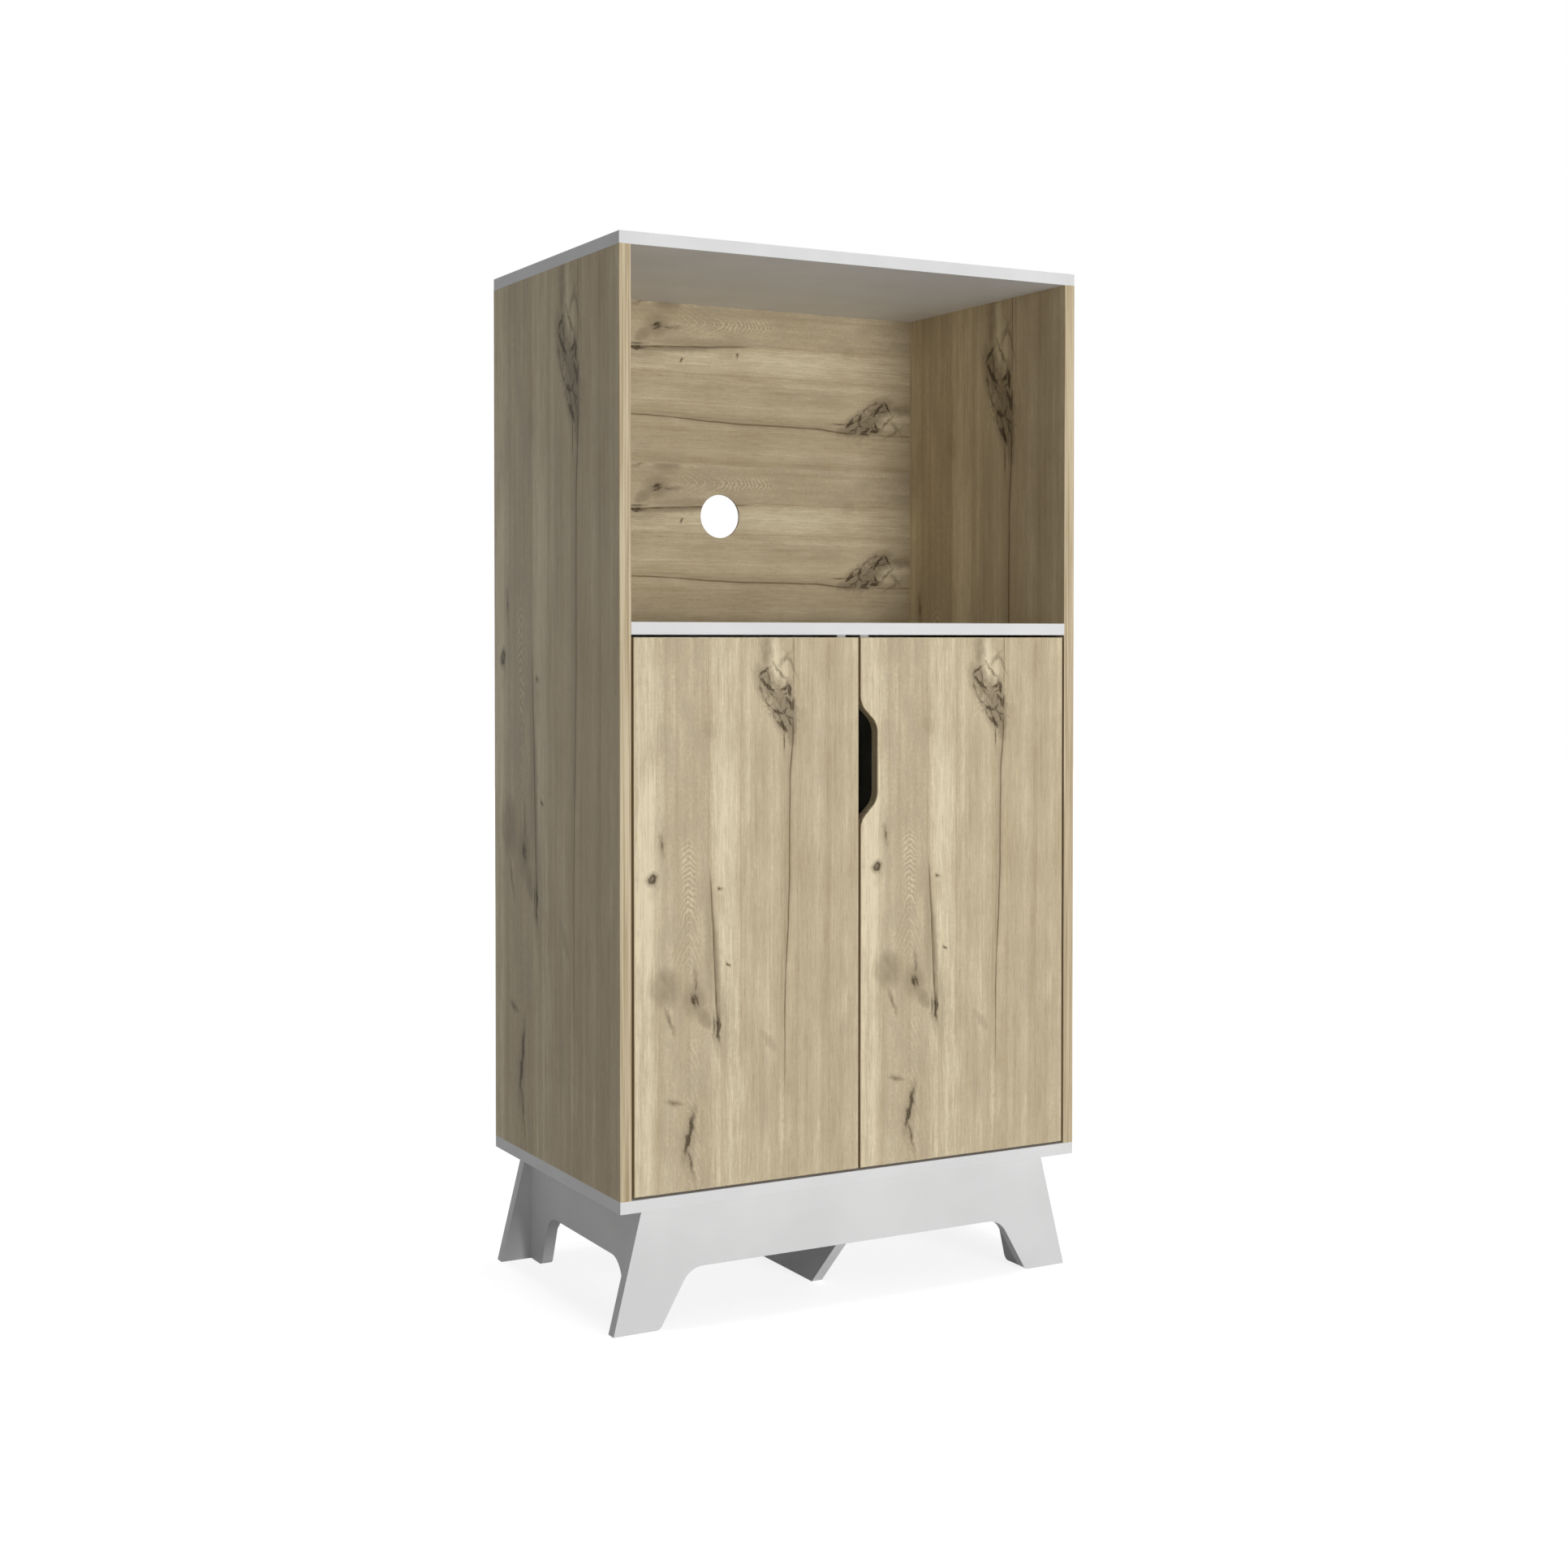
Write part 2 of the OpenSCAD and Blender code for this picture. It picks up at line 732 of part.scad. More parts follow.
// Where the flange's corner and the door's stand when the door is open, and the neck of the arm beyond them
flange_corner = [pivot_x - cup_x + cup_d / 2 + cup_rim, pivot_behind + cup_flange_t];
door_corner = [pivot_edge, pivot_behind];
function opened_x(corner) = -corner[0] * cos(door_opening) + corner[1] * sin(door_opening);
neck_x = pivot_x + max(opened_x(flange_corner), opened_x(door_corner)) + arm_clear;
neck_t = 3.8;
crank_y = pivot_y + corner_swing + 1;

// The arm's hook stays below the cup's wall, which lies over it when the door is open
wall_room = pivot_x - cup_x + sqrt(pow(cup_inner_r, 2) - pow(arm_half, 2));
wall_opened = wall_room * sin(door_opening) + (pivot_behind + cup_flange_t) * cos(door_opening);
hook_clear = 0.3;
hook_top = pivot_y + min(3.1, wall_opened - hook_clear);
hook_bottom = pivot_y - 2.6;
hook_fillet = min(2, pivot_y + wall_opened - hook_top);

plate_t = 2;
plate_screw_y = board + 37;
plate_screw_z = 16;
plate_screw_length = 13;
rail_h = 3.5;
rail_half = 4.8;
saddle_front = plate_screw_y - 16;
saddle_rear = plate_screw_y + 18;
saddle_half = 7;
saddle_top = 9;
arm_screw_d = 4;
arm_screw_head_d = 7;
arm_screw_rows = [saddle_front + 11, saddle_rear - 7];

module at_hinges() {
    for (z = hinge_heights) translate([-inner_half, front, z]) children();
}

module plate_screw_places() {
    for (z = [-1, 1] * plate_screw_z) translate([plate_t, plate_screw_y, z]) children();
}

module mounting_plates() {
    color(steel) on_both_sides() at_hinges() difference() {
        union() {
            block([0, plate_screw_y - 6, -24], [plate_t, plate_screw_y + 6, 24]);
            block([0, saddle_front, -8], [plate_t, saddle_rear + 2, 8]);
            block([0, saddle_front + 1, -rail_half], [plate_t + rail_h, saddle_rear, rail_half]);
        }
        plate_screw_places() along_x() wood_screw_hole(plate_screw_length);
        arm_screw_places() arm_screw_shank(fit);
    }
}

module plate_screws() {
    color(steel) on_both_sides() at_hinges() plate_screw_places() along_x() wood_screw(plate_screw_length);
}

arm_outline = rounded([
    [pivot_x, hook_bottom],
    [neck_x + neck_t, hook_bottom, 4],
    [neck_x + neck_t, crank_y + 5, 5],
    [saddle_top, saddle_front + 3, 5],
    [saddle_top, saddle_rear],
    [plate_t + 0.2, saddle_rear],
    [plate_t + 0.2, saddle_front - 2, 3],
    [neck_x, crank_y, 3],
    [neck_x, hook_top, hook_fillet],
    [pivot_x, hook_top]], 4);

module hinge_arms() {
    color(steel) on_both_sides() at_hinges() difference() {
        union() {
            translate([0, 0, -arm_half]) linear_extrude(2 * arm_half) polygon(arm_outline);
            translate([pivot_x, pivot_y, -arm_half]) cylinder(r = eye_r, h = 2 * arm_half, $fn = 32);
            block([plate_t + 0.2, saddle_front + 3, -saddle_half], [saddle_top, saddle_rear, saddle_half]);
        }
        block([0, saddle_front - 5, -rail_half - 0.2],
              [plate_t + rail_h + 0.2, saddle_rear + cut, rail_half + 0.2]);
        translate([pivot_x, pivot_y, -arm_half - cut])
            cylinder(r = pin_r + pin_running, h = 2 * (arm_half + cut), $fn = 32);
        arm_screw_places() arm_screw_shank(fit);
    }
}

module arm_screw_places() for (y = arm_screw_rows) translate([saddle_top, y, 0]) children();

module arm_screw_shank(grow = 0) {
    length = saddle_top - plate_t;
    along_x() translate([0, 0, -length]) cylinder(d = arm_screw_d + 2 * grow, h = length + (grow > 0 ? cut : 0), $fn = 24);
}

module arm_screws() {
    color(steel) on_both_sides() at_hinges() arm_screw_places() {
        arm_screw_shank();
        along_x() difference() {
            cylinder(d = arm_screw_head_d, h = 2, $fn = 24);
            translate([0, 0, 2]) cross_recess(4.5, 1, 1.2);
        }
    }
}

module cup_screw_places() {
    for (z = [-1, 1] * cup_screw_z) translate([cup_screw_x, board + cup_flange_t, z]) children();
}

module hinge_cup() {
    difference() {
        union() {
            translate([cup_x, cup_bottom, 0]) along_y() cylinder(d = cup_d, h = board - cup_bottom, $fn = 64);
            translate([cup_x, board, 0]) along_y() cylinder(d = cup_d + 2 * cup_rim, h = cup_flange_t, $fn = 64);
            block([cup_screw_x - cup_wing_w / 2, board, -cup_screw_z],
                  [cup_screw_x + cup_wing_w / 2, board + cup_flange_t, cup_screw_z]);
            for (z = [-1, 1] * cup_screw_z) translate([cup_screw_x, board, z])
                along_y() cylinder(d = cup_wing_w, h = cup_flange_t, $fn = 32);
        }
        translate([cup_x, cup_bottom + cup_wall, 0]) along_y() cylinder(r = cup_inner_r, h = board, $fn = 64);
        cup_screw_places() along_y() wood_screw_hole(cup_screw_length);
    }
    cup_ears();
}

// Two cheeks on the cup's floor that hold the pin's ends, one each side of the arm
module cup_ears() {
    difference() {
        intersection() {
            translate([cup_x, cup_bottom + cup_wall / 2, 0]) along_y() cylinder(d = cup_d - cup_wall, h = board, $fn = 64);
            for (z = [arm_half + ear_gap, -arm_half - ear_gap - ear_t])
                block([0, cup_bottom, z], [pivot_x + 5, pivot_y + 4, z + ear_t]);
        }
        hinge_pin(0.02);
    }
}

module hinge_pin(grow = 0) {
    half = arm_half + ear_gap + ear_t + (grow > 0 ? cut : pin_head_room);
    translate([pivot_x, pivot_y, -half]) cylinder(r = pin_r + grow, h = 2 * half, $fn = 32);
}

// ---------------------------------------------------------------- doors

// Door outline at the right, drawn in by inset; with the finger cut-out in the edge at the cabinet's middle
corner_shift = sqrt(2) - 1;
function plain_door(inset) = [
    [door_gap / 2 + inset, door_bottom + inset],
    [inner_half - door_gap - inset, door_bottom + inset],
    [inner_half - door_gap - inset, door_top - inset],
    [door_gap / 2 + inset, door_top - inset]];

function grip_door(inset) =
    let (edge = door_gap / 2 + inset,
         outer = grip_length / 2 + corner_shift * inset,
         inner = grip_length / 2 - grip_depth + corner_shift * inset)
    rounded(concat(plain_door(inset), [
        [edge, grip_height + outer, grip_radius - inset],
        [edge + grip_depth, grip_height + inner, grip_radius + inset],
        [edge + grip_depth, grip_height - inner, grip_radius + inset],
        [edge, grip_height - outer, grip_radius - inset]]), 12);

// Hinge and catch borings of the left door
module door_borings() {
    at_hinges() {
        translate([cup_x, cup_bottom, 0]) along_y() cylinder(d = cup_d + 2 * fit, h = board, $fn = 64);
        cup_screw_places() along_y() wood_screw_hole(cup_screw_length);
    }
    strike_place() along_y() wood_screw_hole(strike_screw_length);
}

module door_left() {
    color(oak) mirror([1, 0, 0]) difference() {
        upright_board(plain_door(edge_band), front, board);
        mirror([1, 0, 0]) door_borings();
    }
}

module door_right() {
    color(oak) difference() {
        upright_board(grip_door(edge_band), front, board);
        mirror([1, 0, 0]) door_borings();
    }
}

module edging(outer, inner) {
    color(edge_oak) difference() {
        upright_board(outer, front, board);
        upright_board(inner, front - cut, board + 2 * cut);
    }
}

module door_edging_left() mirror([1, 0, 0]) edging(plain_door(0), plain_door(edge_band));
module door_edging_right() edging(grip_door(0), grip_door(edge_band));

module hinge_cups(side) color(steel) on_side(side) at_hinges() hinge_cup();
module hinge_pins(side) color(zinc) on_side(side) at_hinges() hinge_pin();
module cup_screws(side) {
    color(steel) on_side(side) at_hinges() cup_screw_places() along_y() wood_screw(cup_screw_length);
}

// Strike plate on the door's rear face, opposite its catch
strike_screw_length = 11;
strike_size = 12;
module strike_place() {
    translate([-catch_spacing / 2, front + board + strike_t, shelf_bottom - catch_height / 2 - 0.5 - door_gap]) children();
}

module strike_plate(side) {
    color(steel) on_side(side) difference() {
        strike_place() translate([-strike_size / 2, -strike_t, -strike_size / 2])
            cube([strike_size, strike_t, strike_size]);
        strike_place() along_y() wood_screw_hole(strike_screw_length);
    }
}

module strike_screw(side) color(steel) on_side(side) strike_place() along_y() wood_screw(strike_screw_length);

// ---------------------------------------------------------------- parts

top_panel();
bottom_panel();
side_left();
side_right();
fixed_shelf();
side_edging();
panel_edging();
niche_back();
lower_back();
back_screws();
inner_shelf();
shelf_pins();
base_front();
base_rear();
base_side_left();
base_side_right();
base_centre();
base_cam_locks();
base_cam_bolts();
base_dowels();
base_brackets();
bracket_screws();
shelf_cam_locks();
shelf_cam_bolts();
carcass_dowels();
carcass_screws();
screw_caps();
catch_housings();
catch_magnets();
catch_screws();
mounting_plates();
plate_screws();
hinge_arms();
arm_screws();
door_left();
door_edging_left();
hinge_cups("left");  // hinge_cups_left
hinge_pins("left");  // hinge_pins_left
cup_screws("left");  // cup_screws_left
strike_plate("left");  // strike_plate_left
strike_screw("left");  // strike_screw_left
door_right();
door_edging_right();
hinge_cups("right");  // hinge_cups_right
hinge_pins("right");  // hinge_pins_right
cup_screws("right");  // cup_screws_right
strike_plate("right");  // strike_plate_right
strike_screw("right");  // strike_screw_right
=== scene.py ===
"""Looks of a tall microwave cabinet in oak decor and white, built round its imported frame."""

import json
from functools import reduce
from itertools import chain
from math import atan2, cos, hypot, radians, sin

import bmesh
import bpy
from bpy.props import FloatProperty, FloatVectorProperty, PointerProperty
from mathutils import Color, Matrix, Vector
from mathutils.bvhtree import BVHTree


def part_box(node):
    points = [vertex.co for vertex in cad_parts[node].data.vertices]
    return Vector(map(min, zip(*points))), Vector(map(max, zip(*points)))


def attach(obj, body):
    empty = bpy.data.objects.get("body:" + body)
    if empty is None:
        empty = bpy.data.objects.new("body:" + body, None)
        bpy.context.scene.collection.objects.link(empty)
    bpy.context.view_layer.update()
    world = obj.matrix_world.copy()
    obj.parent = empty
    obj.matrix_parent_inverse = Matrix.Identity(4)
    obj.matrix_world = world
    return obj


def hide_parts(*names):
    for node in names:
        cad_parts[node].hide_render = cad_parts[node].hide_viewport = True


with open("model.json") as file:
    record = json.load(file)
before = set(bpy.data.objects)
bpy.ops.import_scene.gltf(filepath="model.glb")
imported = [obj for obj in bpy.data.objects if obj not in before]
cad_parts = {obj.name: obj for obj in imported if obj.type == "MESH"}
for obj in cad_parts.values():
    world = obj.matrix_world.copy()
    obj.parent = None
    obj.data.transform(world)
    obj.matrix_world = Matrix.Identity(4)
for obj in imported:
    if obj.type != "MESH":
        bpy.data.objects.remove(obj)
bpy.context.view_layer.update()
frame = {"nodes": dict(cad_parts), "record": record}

bl_info = {
    "name": "Microwave cabinet",
    "version": (1, 0, 0),
    "blender": (4, 5, 0),
    "location": "View3D > Sidebar > Cabinet",
    "description": "Boards, edge bands, fittings and stage of a tall microwave cabinet",
    "category": "Object",
}

MM = 0.001
NODES = frame["nodes"]
BODY_OF = {node: body for body, nodes in frame["record"]["behaviour"]["bodies"].items() for node in nodes}


# ---------------------------------------------------------------- settings


def finish_colour(name, description, default):
    return FloatVectorProperty(name=name, description=description, subtype="COLOR_GAMMA", size=3, min=0, max=1,
                               default=tuple(part / 255 for part in default))


def easing(name, description, default_mm):
    return FloatProperty(name=name, description=description, unit="LENGTH", subtype="DISTANCE", min=0,
                         max=2 * MM, default=default_mm * MM)


class CabinetFinishes(bpy.types.PropertyGroup):
    oak_light: finish_colour("Light oak", "Palest wood of the decor", (238, 225, 192))
    oak_middle: finish_colour("Middle oak", "Main wood of the decor", (208, 192, 161))
    oak_dark: finish_colour("Dark oak", "Darker bands of the decor", (182, 164, 131))
    oak_grey: finish_colour("Grey oak", "Greyish clouds of the decor", (184, 170, 147))
    oak_smear: finish_colour("Oak smear", "Soft stains round knots", (150, 136, 112))
    oak_line: finish_colour("Oak line", "Long dark grain lines", (106, 88, 61))
    oak_brown: finish_colour("Brown oak", "Thin reddish grain lines", (172, 143, 108))
    oak_crack: finish_colour("Oak crack", "Cracks and knots", (82, 69, 51))
    band_light: finish_colour("Light band", "Pale stripes of the oak edge bands", (214, 198, 166))
    band_dark: finish_colour("Dark band", "Dark stripes of the oak edge bands", (176, 156, 122))
    white: finish_colour("White", "White boards", (232, 232, 232))
    white_band: finish_colour("White band", "White edge bands", (235, 235, 235))
    core: finish_colour("Core", "Chipboard where a board has no band", (190, 160, 118))
    core_chip: finish_colour("Core chip", "Dark chips in the chipboard", (132, 100, 66))
    fibre: finish_colour("Fibre", "Bare rear face of the back panels", (164, 130, 94))
    steel: finish_colour("Steel", "Zinc-plated screws and brackets", (190, 193, 198))
    nickel: finish_colour("Nickel", "Plated hinge parts", (205, 203, 198))
    zinc: finish_colour("Zinc", "Die-cast cam locks", (158, 158, 156))
    beech: finish_colour("Beech", "Dowels", (214, 180, 134))
    grey_plastic: finish_colour("Grey plastic", "Catch housings", (205, 205, 203))
    magnet: finish_colour("Magnet", "Catch magnets", (58, 58, 60))


class CabinetEasing(bpy.types.PropertyGroup):
    board: easing("Board", "Rounding of a board's free edges", 0.4)
    band: easing("Band", "Rounding of an edge band's free edges", 0.6)
    fitting: easing("Fitting", "Rounding of a pressed or moulded fitting", 0.25)


class CabinetStage(bpy.types.PropertyGroup):
    ambient: FloatProperty(name="Ambient", description="Light from all round", min=0, max=2, default=0.255)
    key_power: FloatProperty(name="Key lamp", description="Power of the large lamp in front", unit="POWER", min=0,
                             max=1000, default=162)
    fill_power: FloatProperty(name="Fill lamps", description="Power of the lamps behind and above", unit="POWER",
                              min=0, max=500, default=56)
    floor_lift: FloatProperty(name="Floor lift", description="How much paler the floor looks to the camera", min=0,
                              max=1, default=0.8)


def finishes():
    return bpy.context.scene.cabinet_finishes


def easings():
    return bpy.context.scene.cabinet_easing


def linear(colour):
    return (*Color(colour).from_srgb_to_scene_linear(), 1.0)


# ---------------------------------------------------------------- shader maths


class Value:
    """Output of a shader node. Arithmetic on it adds Math nodes."""

    def __init__(self, graph, socket):
        self.graph = graph
        self.socket = socket

    def __add__(self, other):
        return self.graph.math("ADD", self, other)

    def __sub__(self, other):
        return self.graph.math("SUBTRACT", self, other)

    def __rsub__(self, other):
        return self.graph.math("SUBTRACT", other, self)

    def __mul__(self, other):
        return self.graph.math("MULTIPLY", self, other)

    def __truediv__(self, other):
        return self.graph.math("DIVIDE", self, other)

    def __pow__(self, other):
        return self.graph.math("POWER", self, other)

    def __mod__(self, other):
        return self.graph.math("FLOORED_MODULO", self, other)

    def __abs__(self):
        return self.graph.math("ABSOLUTE", self)

    def larger(self, other):
        return self.graph.math("MAXIMUM", self, other)

    def smaller(self, other):
        return self.graph.math("MINIMUM", self, other)

    __radd__ = __add__
    __rmul__ = __mul__


def highest(values):
    """Largest of several values at each place."""
    return reduce(Value.larger, values)


class Graph:
    """One material's nodes, or one node group's."""

    def __init__(self, tree):
        self.tree = tree

    def node(self, kind, settings=None, output=0, stops=None, **inputs):
        made = self.tree.nodes.new(kind)
        for name, value in (settings or {}).items():
            setattr(made, name, value)
        if stops:
            ramp = made.color_ramp.elements
            while len(ramp) < len(stops):
                ramp.new(1.0)
            for element, (place, colour) in zip(ramp, stops):
                element.position = place
                element.color = colour
        for name, value in inputs.items():
            socket = made.inputs[int(name[1:]) if name[1:].isdigit() else name.replace("_", " ")]
            if isinstance(value, Value):
                self.tree.links.new(value.socket, socket)
            else:
                socket.default_value = value
        return Value(self, made.outputs[output]) if made.outputs else None

    def outputs(self, kind, settings=None, **inputs):
        """Every output of one node."""
        made = self.node(kind, settings, **inputs).socket.node
        return [Value(self, socket) for socket in made.outputs]

    def link(self, value, node, socket):
        """Feeds a value into a node that was there before."""
        self.tree.links.new(value.socket, self.tree.nodes[node].inputs[socket])

    def math(self, operation, first, second=0.0):
        return self.node("ShaderNodeMath", {"operation": operation}, i0=first, i1=second)

    def smooth(self, value, low, high, full=1.0):
        """0 at low, full at high, eased; low may be the larger one."""
        return self.node("ShaderNodeMapRange", {"interpolation_type": "SMOOTHSTEP"}, Value=value, From_Min=low,
                         From_Max=high, To_Max=full)

    def vector(self, x, y, z=0.0):
        return self.node("ShaderNodeCombineXYZ", X=x, Y=y, Z=z)

    def split(self, vector):
        return self.outputs("ShaderNodeSeparateXYZ", Vector=vector)

    def parts(self, colour):
        return self.outputs("ShaderNodeSeparateColor", Color=colour)

    def dot(self, vector, factors):
        return self.node("ShaderNodeVectorMath", {"operation": "DOT_PRODUCT"}, output=1, i0=vector, i1=factors)

    def stretch(self, vector, factors, seed=0.0):
        return self.node("ShaderNodeMapping", {"vector_type": "POINT"}, Vector=vector, Scale=(*factors, 1.0)[:3],
                         Location=(0.0, 0.0, seed))

    def noise(self, vector, factors, seed=0.0, detail=2.0, roughness=0.5, distortion=0.0, output=0):
        """Noise whose grains are 1 / factors long."""
        return self.node("ShaderNodeTexNoise", output=output, Vector=self.stretch(vector, factors, seed), Scale=1.0,
                         Detail=detail, Roughness=roughness, Distortion=distortion)

    def blend(self, factor, first, second, mode="MIX"):
        return self.node("ShaderNodeMix", {"data_type": "RGBA", "blend_type": mode}, output=2, i0=factor, i6=first,
                         i7=second)

    def spot(self, place, centre, size, turn=0.0, core=0.3, full=1.0):
        """full in the middle of an ellipse, 0 from its edge on. The place is (across, along, 1), so that one dot
        product gives the distance along each of the ellipse's axes."""
        x, y = centre
        c, s = cos(turn), sin(turn)
        long = self.dot(place, (c / size[0], s / size[0], -(x * c + y * s) / size[0]))
        wide = self.dot(place, (-s / size[1], c / size[1], (x * s - y * c) / size[1]))
        return self.smooth(long * long + wide * wide, 1.0, core * core, full)

    def spots(self, place, table):
        """Largest of a table's spots at each place."""
        return highest(self.spot(place, centre, size, radians(turn), 0.0, depth) for centre, size, turn, depth in table)

    def mound(self, place, centre, size, turn=0.0, full=1.0):
        """full in the middle of an ellipse, 0 on its edge and below that farther out. The place is as for a spot."""
        x, y = centre
        c, s = cos(turn) * full ** 0.5, sin(turn) * full ** 0.5
        long = self.dot(place, (c / size[0], s / size[0], -(x * c + y * s) / size[0]))
        wide = self.dot(place, (-s / size[1], c / size[1], (x * s - y * c) / size[1]))
        return full - (long * long + wide * wide)

    def stroke(self, place, start, end, width, full=1.0):
        """Tapered mound between two points."""
        run, rise = end[0] - start[0], end[1] - start[1]
        size = (hypot(run, rise) / 2 + width / 2, width / 2)
        return self.mound(place, ((start[0] + end[0]) / 2, (start[1] + end[1]) / 2), size, atan2(rise, run), full)


def new_material(name, **fixed):
    """Material with its Principled shader and the constants set on that shader's own sockets."""
    material = bpy.data.materials.new(name)
    material.use_nodes = True
    shader = material.node_tree.nodes["Principled BSDF"]
    for socket, value in fixed.items():
        shader.inputs[socket.replace("_", " ")].default_value = value
    return material, Graph(material.node_tree), shader


def wire(graph, shader, colour=None, roughness=None, height=None, depth=0.0):
    """Feeds what changes over the surface into the shader; height is raised by depth metres."""
    for name, value in (("Base Color", colour), ("Roughness", roughness)):
        if value is not None:
            graph.tree.links.new(value.socket, shader.inputs[name])
    if height is not None:
        normal = graph.node("ShaderNodeBump", Height=height, Distance=depth, Strength=1.0)
        graph.tree.links.new(normal.socket, shader.inputs["Normal"])


def millimetres(graph):
    """Object coordinates in millimetres."""
    place = graph.node("ShaderNodeTexCoord", output=3)
    return graph.node("ShaderNodeVectorMath", {"operation": "SCALE"}, i0=place, Scale=1 / MM)


# ---------------------------------------------------------------- oak decor

# The decor is one printed plank. Its places are in millimetres across (from the left) and along (from the bottom).
PLANK = (305.5, 659.0)

# Cracks and knots: start, end, width and depth of tone
CRACKS = (
    ((166, 612), (179, 622), 5.0, 0.8), ((166, 611), (188, 590), 6.5, 0.9), ((168, 606), (181, 600), 5.0, 0.7),
    ((178, 621), (182, 600), 4.0, 0.6), ((165, 607), (173, 586), 3.2, 0.5), ((173, 586), (184, 573), 3.2, 0.5),
    ((176, 597), (190, 583), 3.0, 0.5), ((196, 595), (207, 601), 5.0, 0.8), ((207, 602), (209, 586), 5.0, 0.8),
    ((199, 590), (210, 592), 3.6, 0.7), ((202, 587), (215, 574), 5.5, 0.85), ((184, 573), (199, 565), 5.5, 0.85),
    ((199, 565), (205, 575), 4.4, 0.7), ((205, 575), (203, 590), 3.6, 0.5), ((184, 574), (189, 559), 3.2, 0.5),
    ((189, 559), (199, 548), 3.6, 0.6), ((196, 556), (204, 545), 7.0, 0.95), ((199, 567), (214, 560), 3.6, 0.6),
    ((212, 586), (215, 566), 5.0, 0.7), ((207, 585), (213, 570), 6.0, 0.7), ((190, 571), (196, 558), 3.0, 0.5),
    ((206, 563), (211, 551), 5.0, 0.6), ((201, 547), (201, 520), 2.8, 0.6), ((188, 625), (204, 606), 2.4, 0.45),
    ((204, 606), (208, 598), 3.0, 0.5), ((205, 637), (213, 622), 2.4, 0.35), ((198, 630), (205, 637), 2.4, 0.3),
    ((35, 420), (37, 408), 4.5, 0.5), ((80, 254), (81, 236), 3.4, 0.4), ((110, 210), (111, 172), 6.0, 0.75),
    ((105, 206), (106, 182), 4.0, 0.5), ((77, 92), (72, 62), 8.0, 0.8), ((73, 76), (67, 44), 8.0, 0.75),
    ((69, 52), (77, 18), 4.5, 0.5), ((112, 359), (114, 358), 3.8, 0.7), ((123, 266), (125, 265), 3.4, 0.7),
    ((47, 108), (57, 106), 3.6, 0.4), ((43, 213), (49, 197), 3.6, 0.4), ((74, 235), (80, 219), 4.6, 0.8),
    ((78, 235), (85, 219), 4.6, 0.75), ((76, 222), (83, 231), 3.6, 0.6),
)

# Knots: centre, half sizes, turn in degrees and depth of tone
KNOTS = (((24.3, 373.5), (6.2, 7.5), 0, 1.2), ((79, 227), (8.0, 12.0), 10, 0.45))

# Soft stains, grey clouds and pale places: centre, half sizes, turn in degrees and depth of tone
STAINS = (
    ((40, 244), (26, 30), 0, 0.75), ((90, 208), (25, 11), -52, 0.85), ((176, 646), (12, 34), 0, 0.8),
    ((176, 604), (20, 34), 22, 0.9), ((200, 572), (22, 44), 12, 1.1), ((211, 547), (10, 30), 2, 1.2),
    ((178, 171), (26, 7), -50, 0.4), ((100, 547), (11, 16), 0, 0.45), ((96, 553), (7, 12), -30, 0.4),
    ((104, 275), (13, 120), 3, 0.55), ((118, 190), (12, 60), 0, 0.4), ((26, 362), (8, 18), -20, 0.3),
    ((72, 60), (13, 54), -6, 0.5), ((222, 566), (20, 9), 18, 0.25),
)
GREYS = (
    ((206, 578), (9, 13), 10, 1.0), ((212, 554), (8, 11), 0, 1.0), ((172, 110), (26, 90), 0, 0.6),
    ((32, 225), (14, 60), 0, 0.55), ((270, 520), (40, 130), 0, 0.45), ((268, 150), (44, 170), 0, 0.5),
    ((160, 470), (26, 120), 0, 0.35), ((86, 500), (22, 70), 0, 0.35),
)
PALE = (
    ((193, 630), (17, 42), 16, 0.8), ((197, 75), (4, 90), 0, 0.6), ((136, 192), (3.0, 80), 0, 0.5),
    ((13, 372), (17, 150), 0, 0.6), ((117, 440), (17, 130), 0, 0.45), ((121, 290), (10, 90), 0, 0.4),
)

# Brightness of the plank across its width
BANDS = ((0.0, 0.64), (0.05, 0.70), (0.09, 0.64), (0.13, 0.46), (0.20, 0.46), (0.31, 0.47), (0.345, 0.58),
         (0.40, 0.62), (0.47, 0.57), (0.53, 0.46), (0.60, 0.50), (0.66, 0.42), (0.72, 0.35), (0.80, 0.45),
         (0.87, 0.34), (0.93, 0.45), (1.0, 0.48))


# Places across the plank, in millimetres
HEART = 71.0                # middle of the nested arches
HEART_LINE = 98.0           # thin brown line beside them
STREAK = 118.6              # dark streak, where it would meet the bottom edge
SPLIT = 201.5               # long split, at the bottom edge
SPLIT_END = 214.0           # its short upper end, past the upper knot
PLAIN = 66.0                # middle of a calm greyish zone

ARCH_CHANGE = 340.0         # height above which the arches are close together, and below it wide apart
UPPER_KNOT = ((191, 584), (26, 50), radians(24))    # centre, half sizes and turn of its web of veins


def grain_line(graph, across, middle, half_width):
    """Long line round a middle that wanders along the plank."""
    return graph.smooth(abs(across - middle), half_width, 0.0)


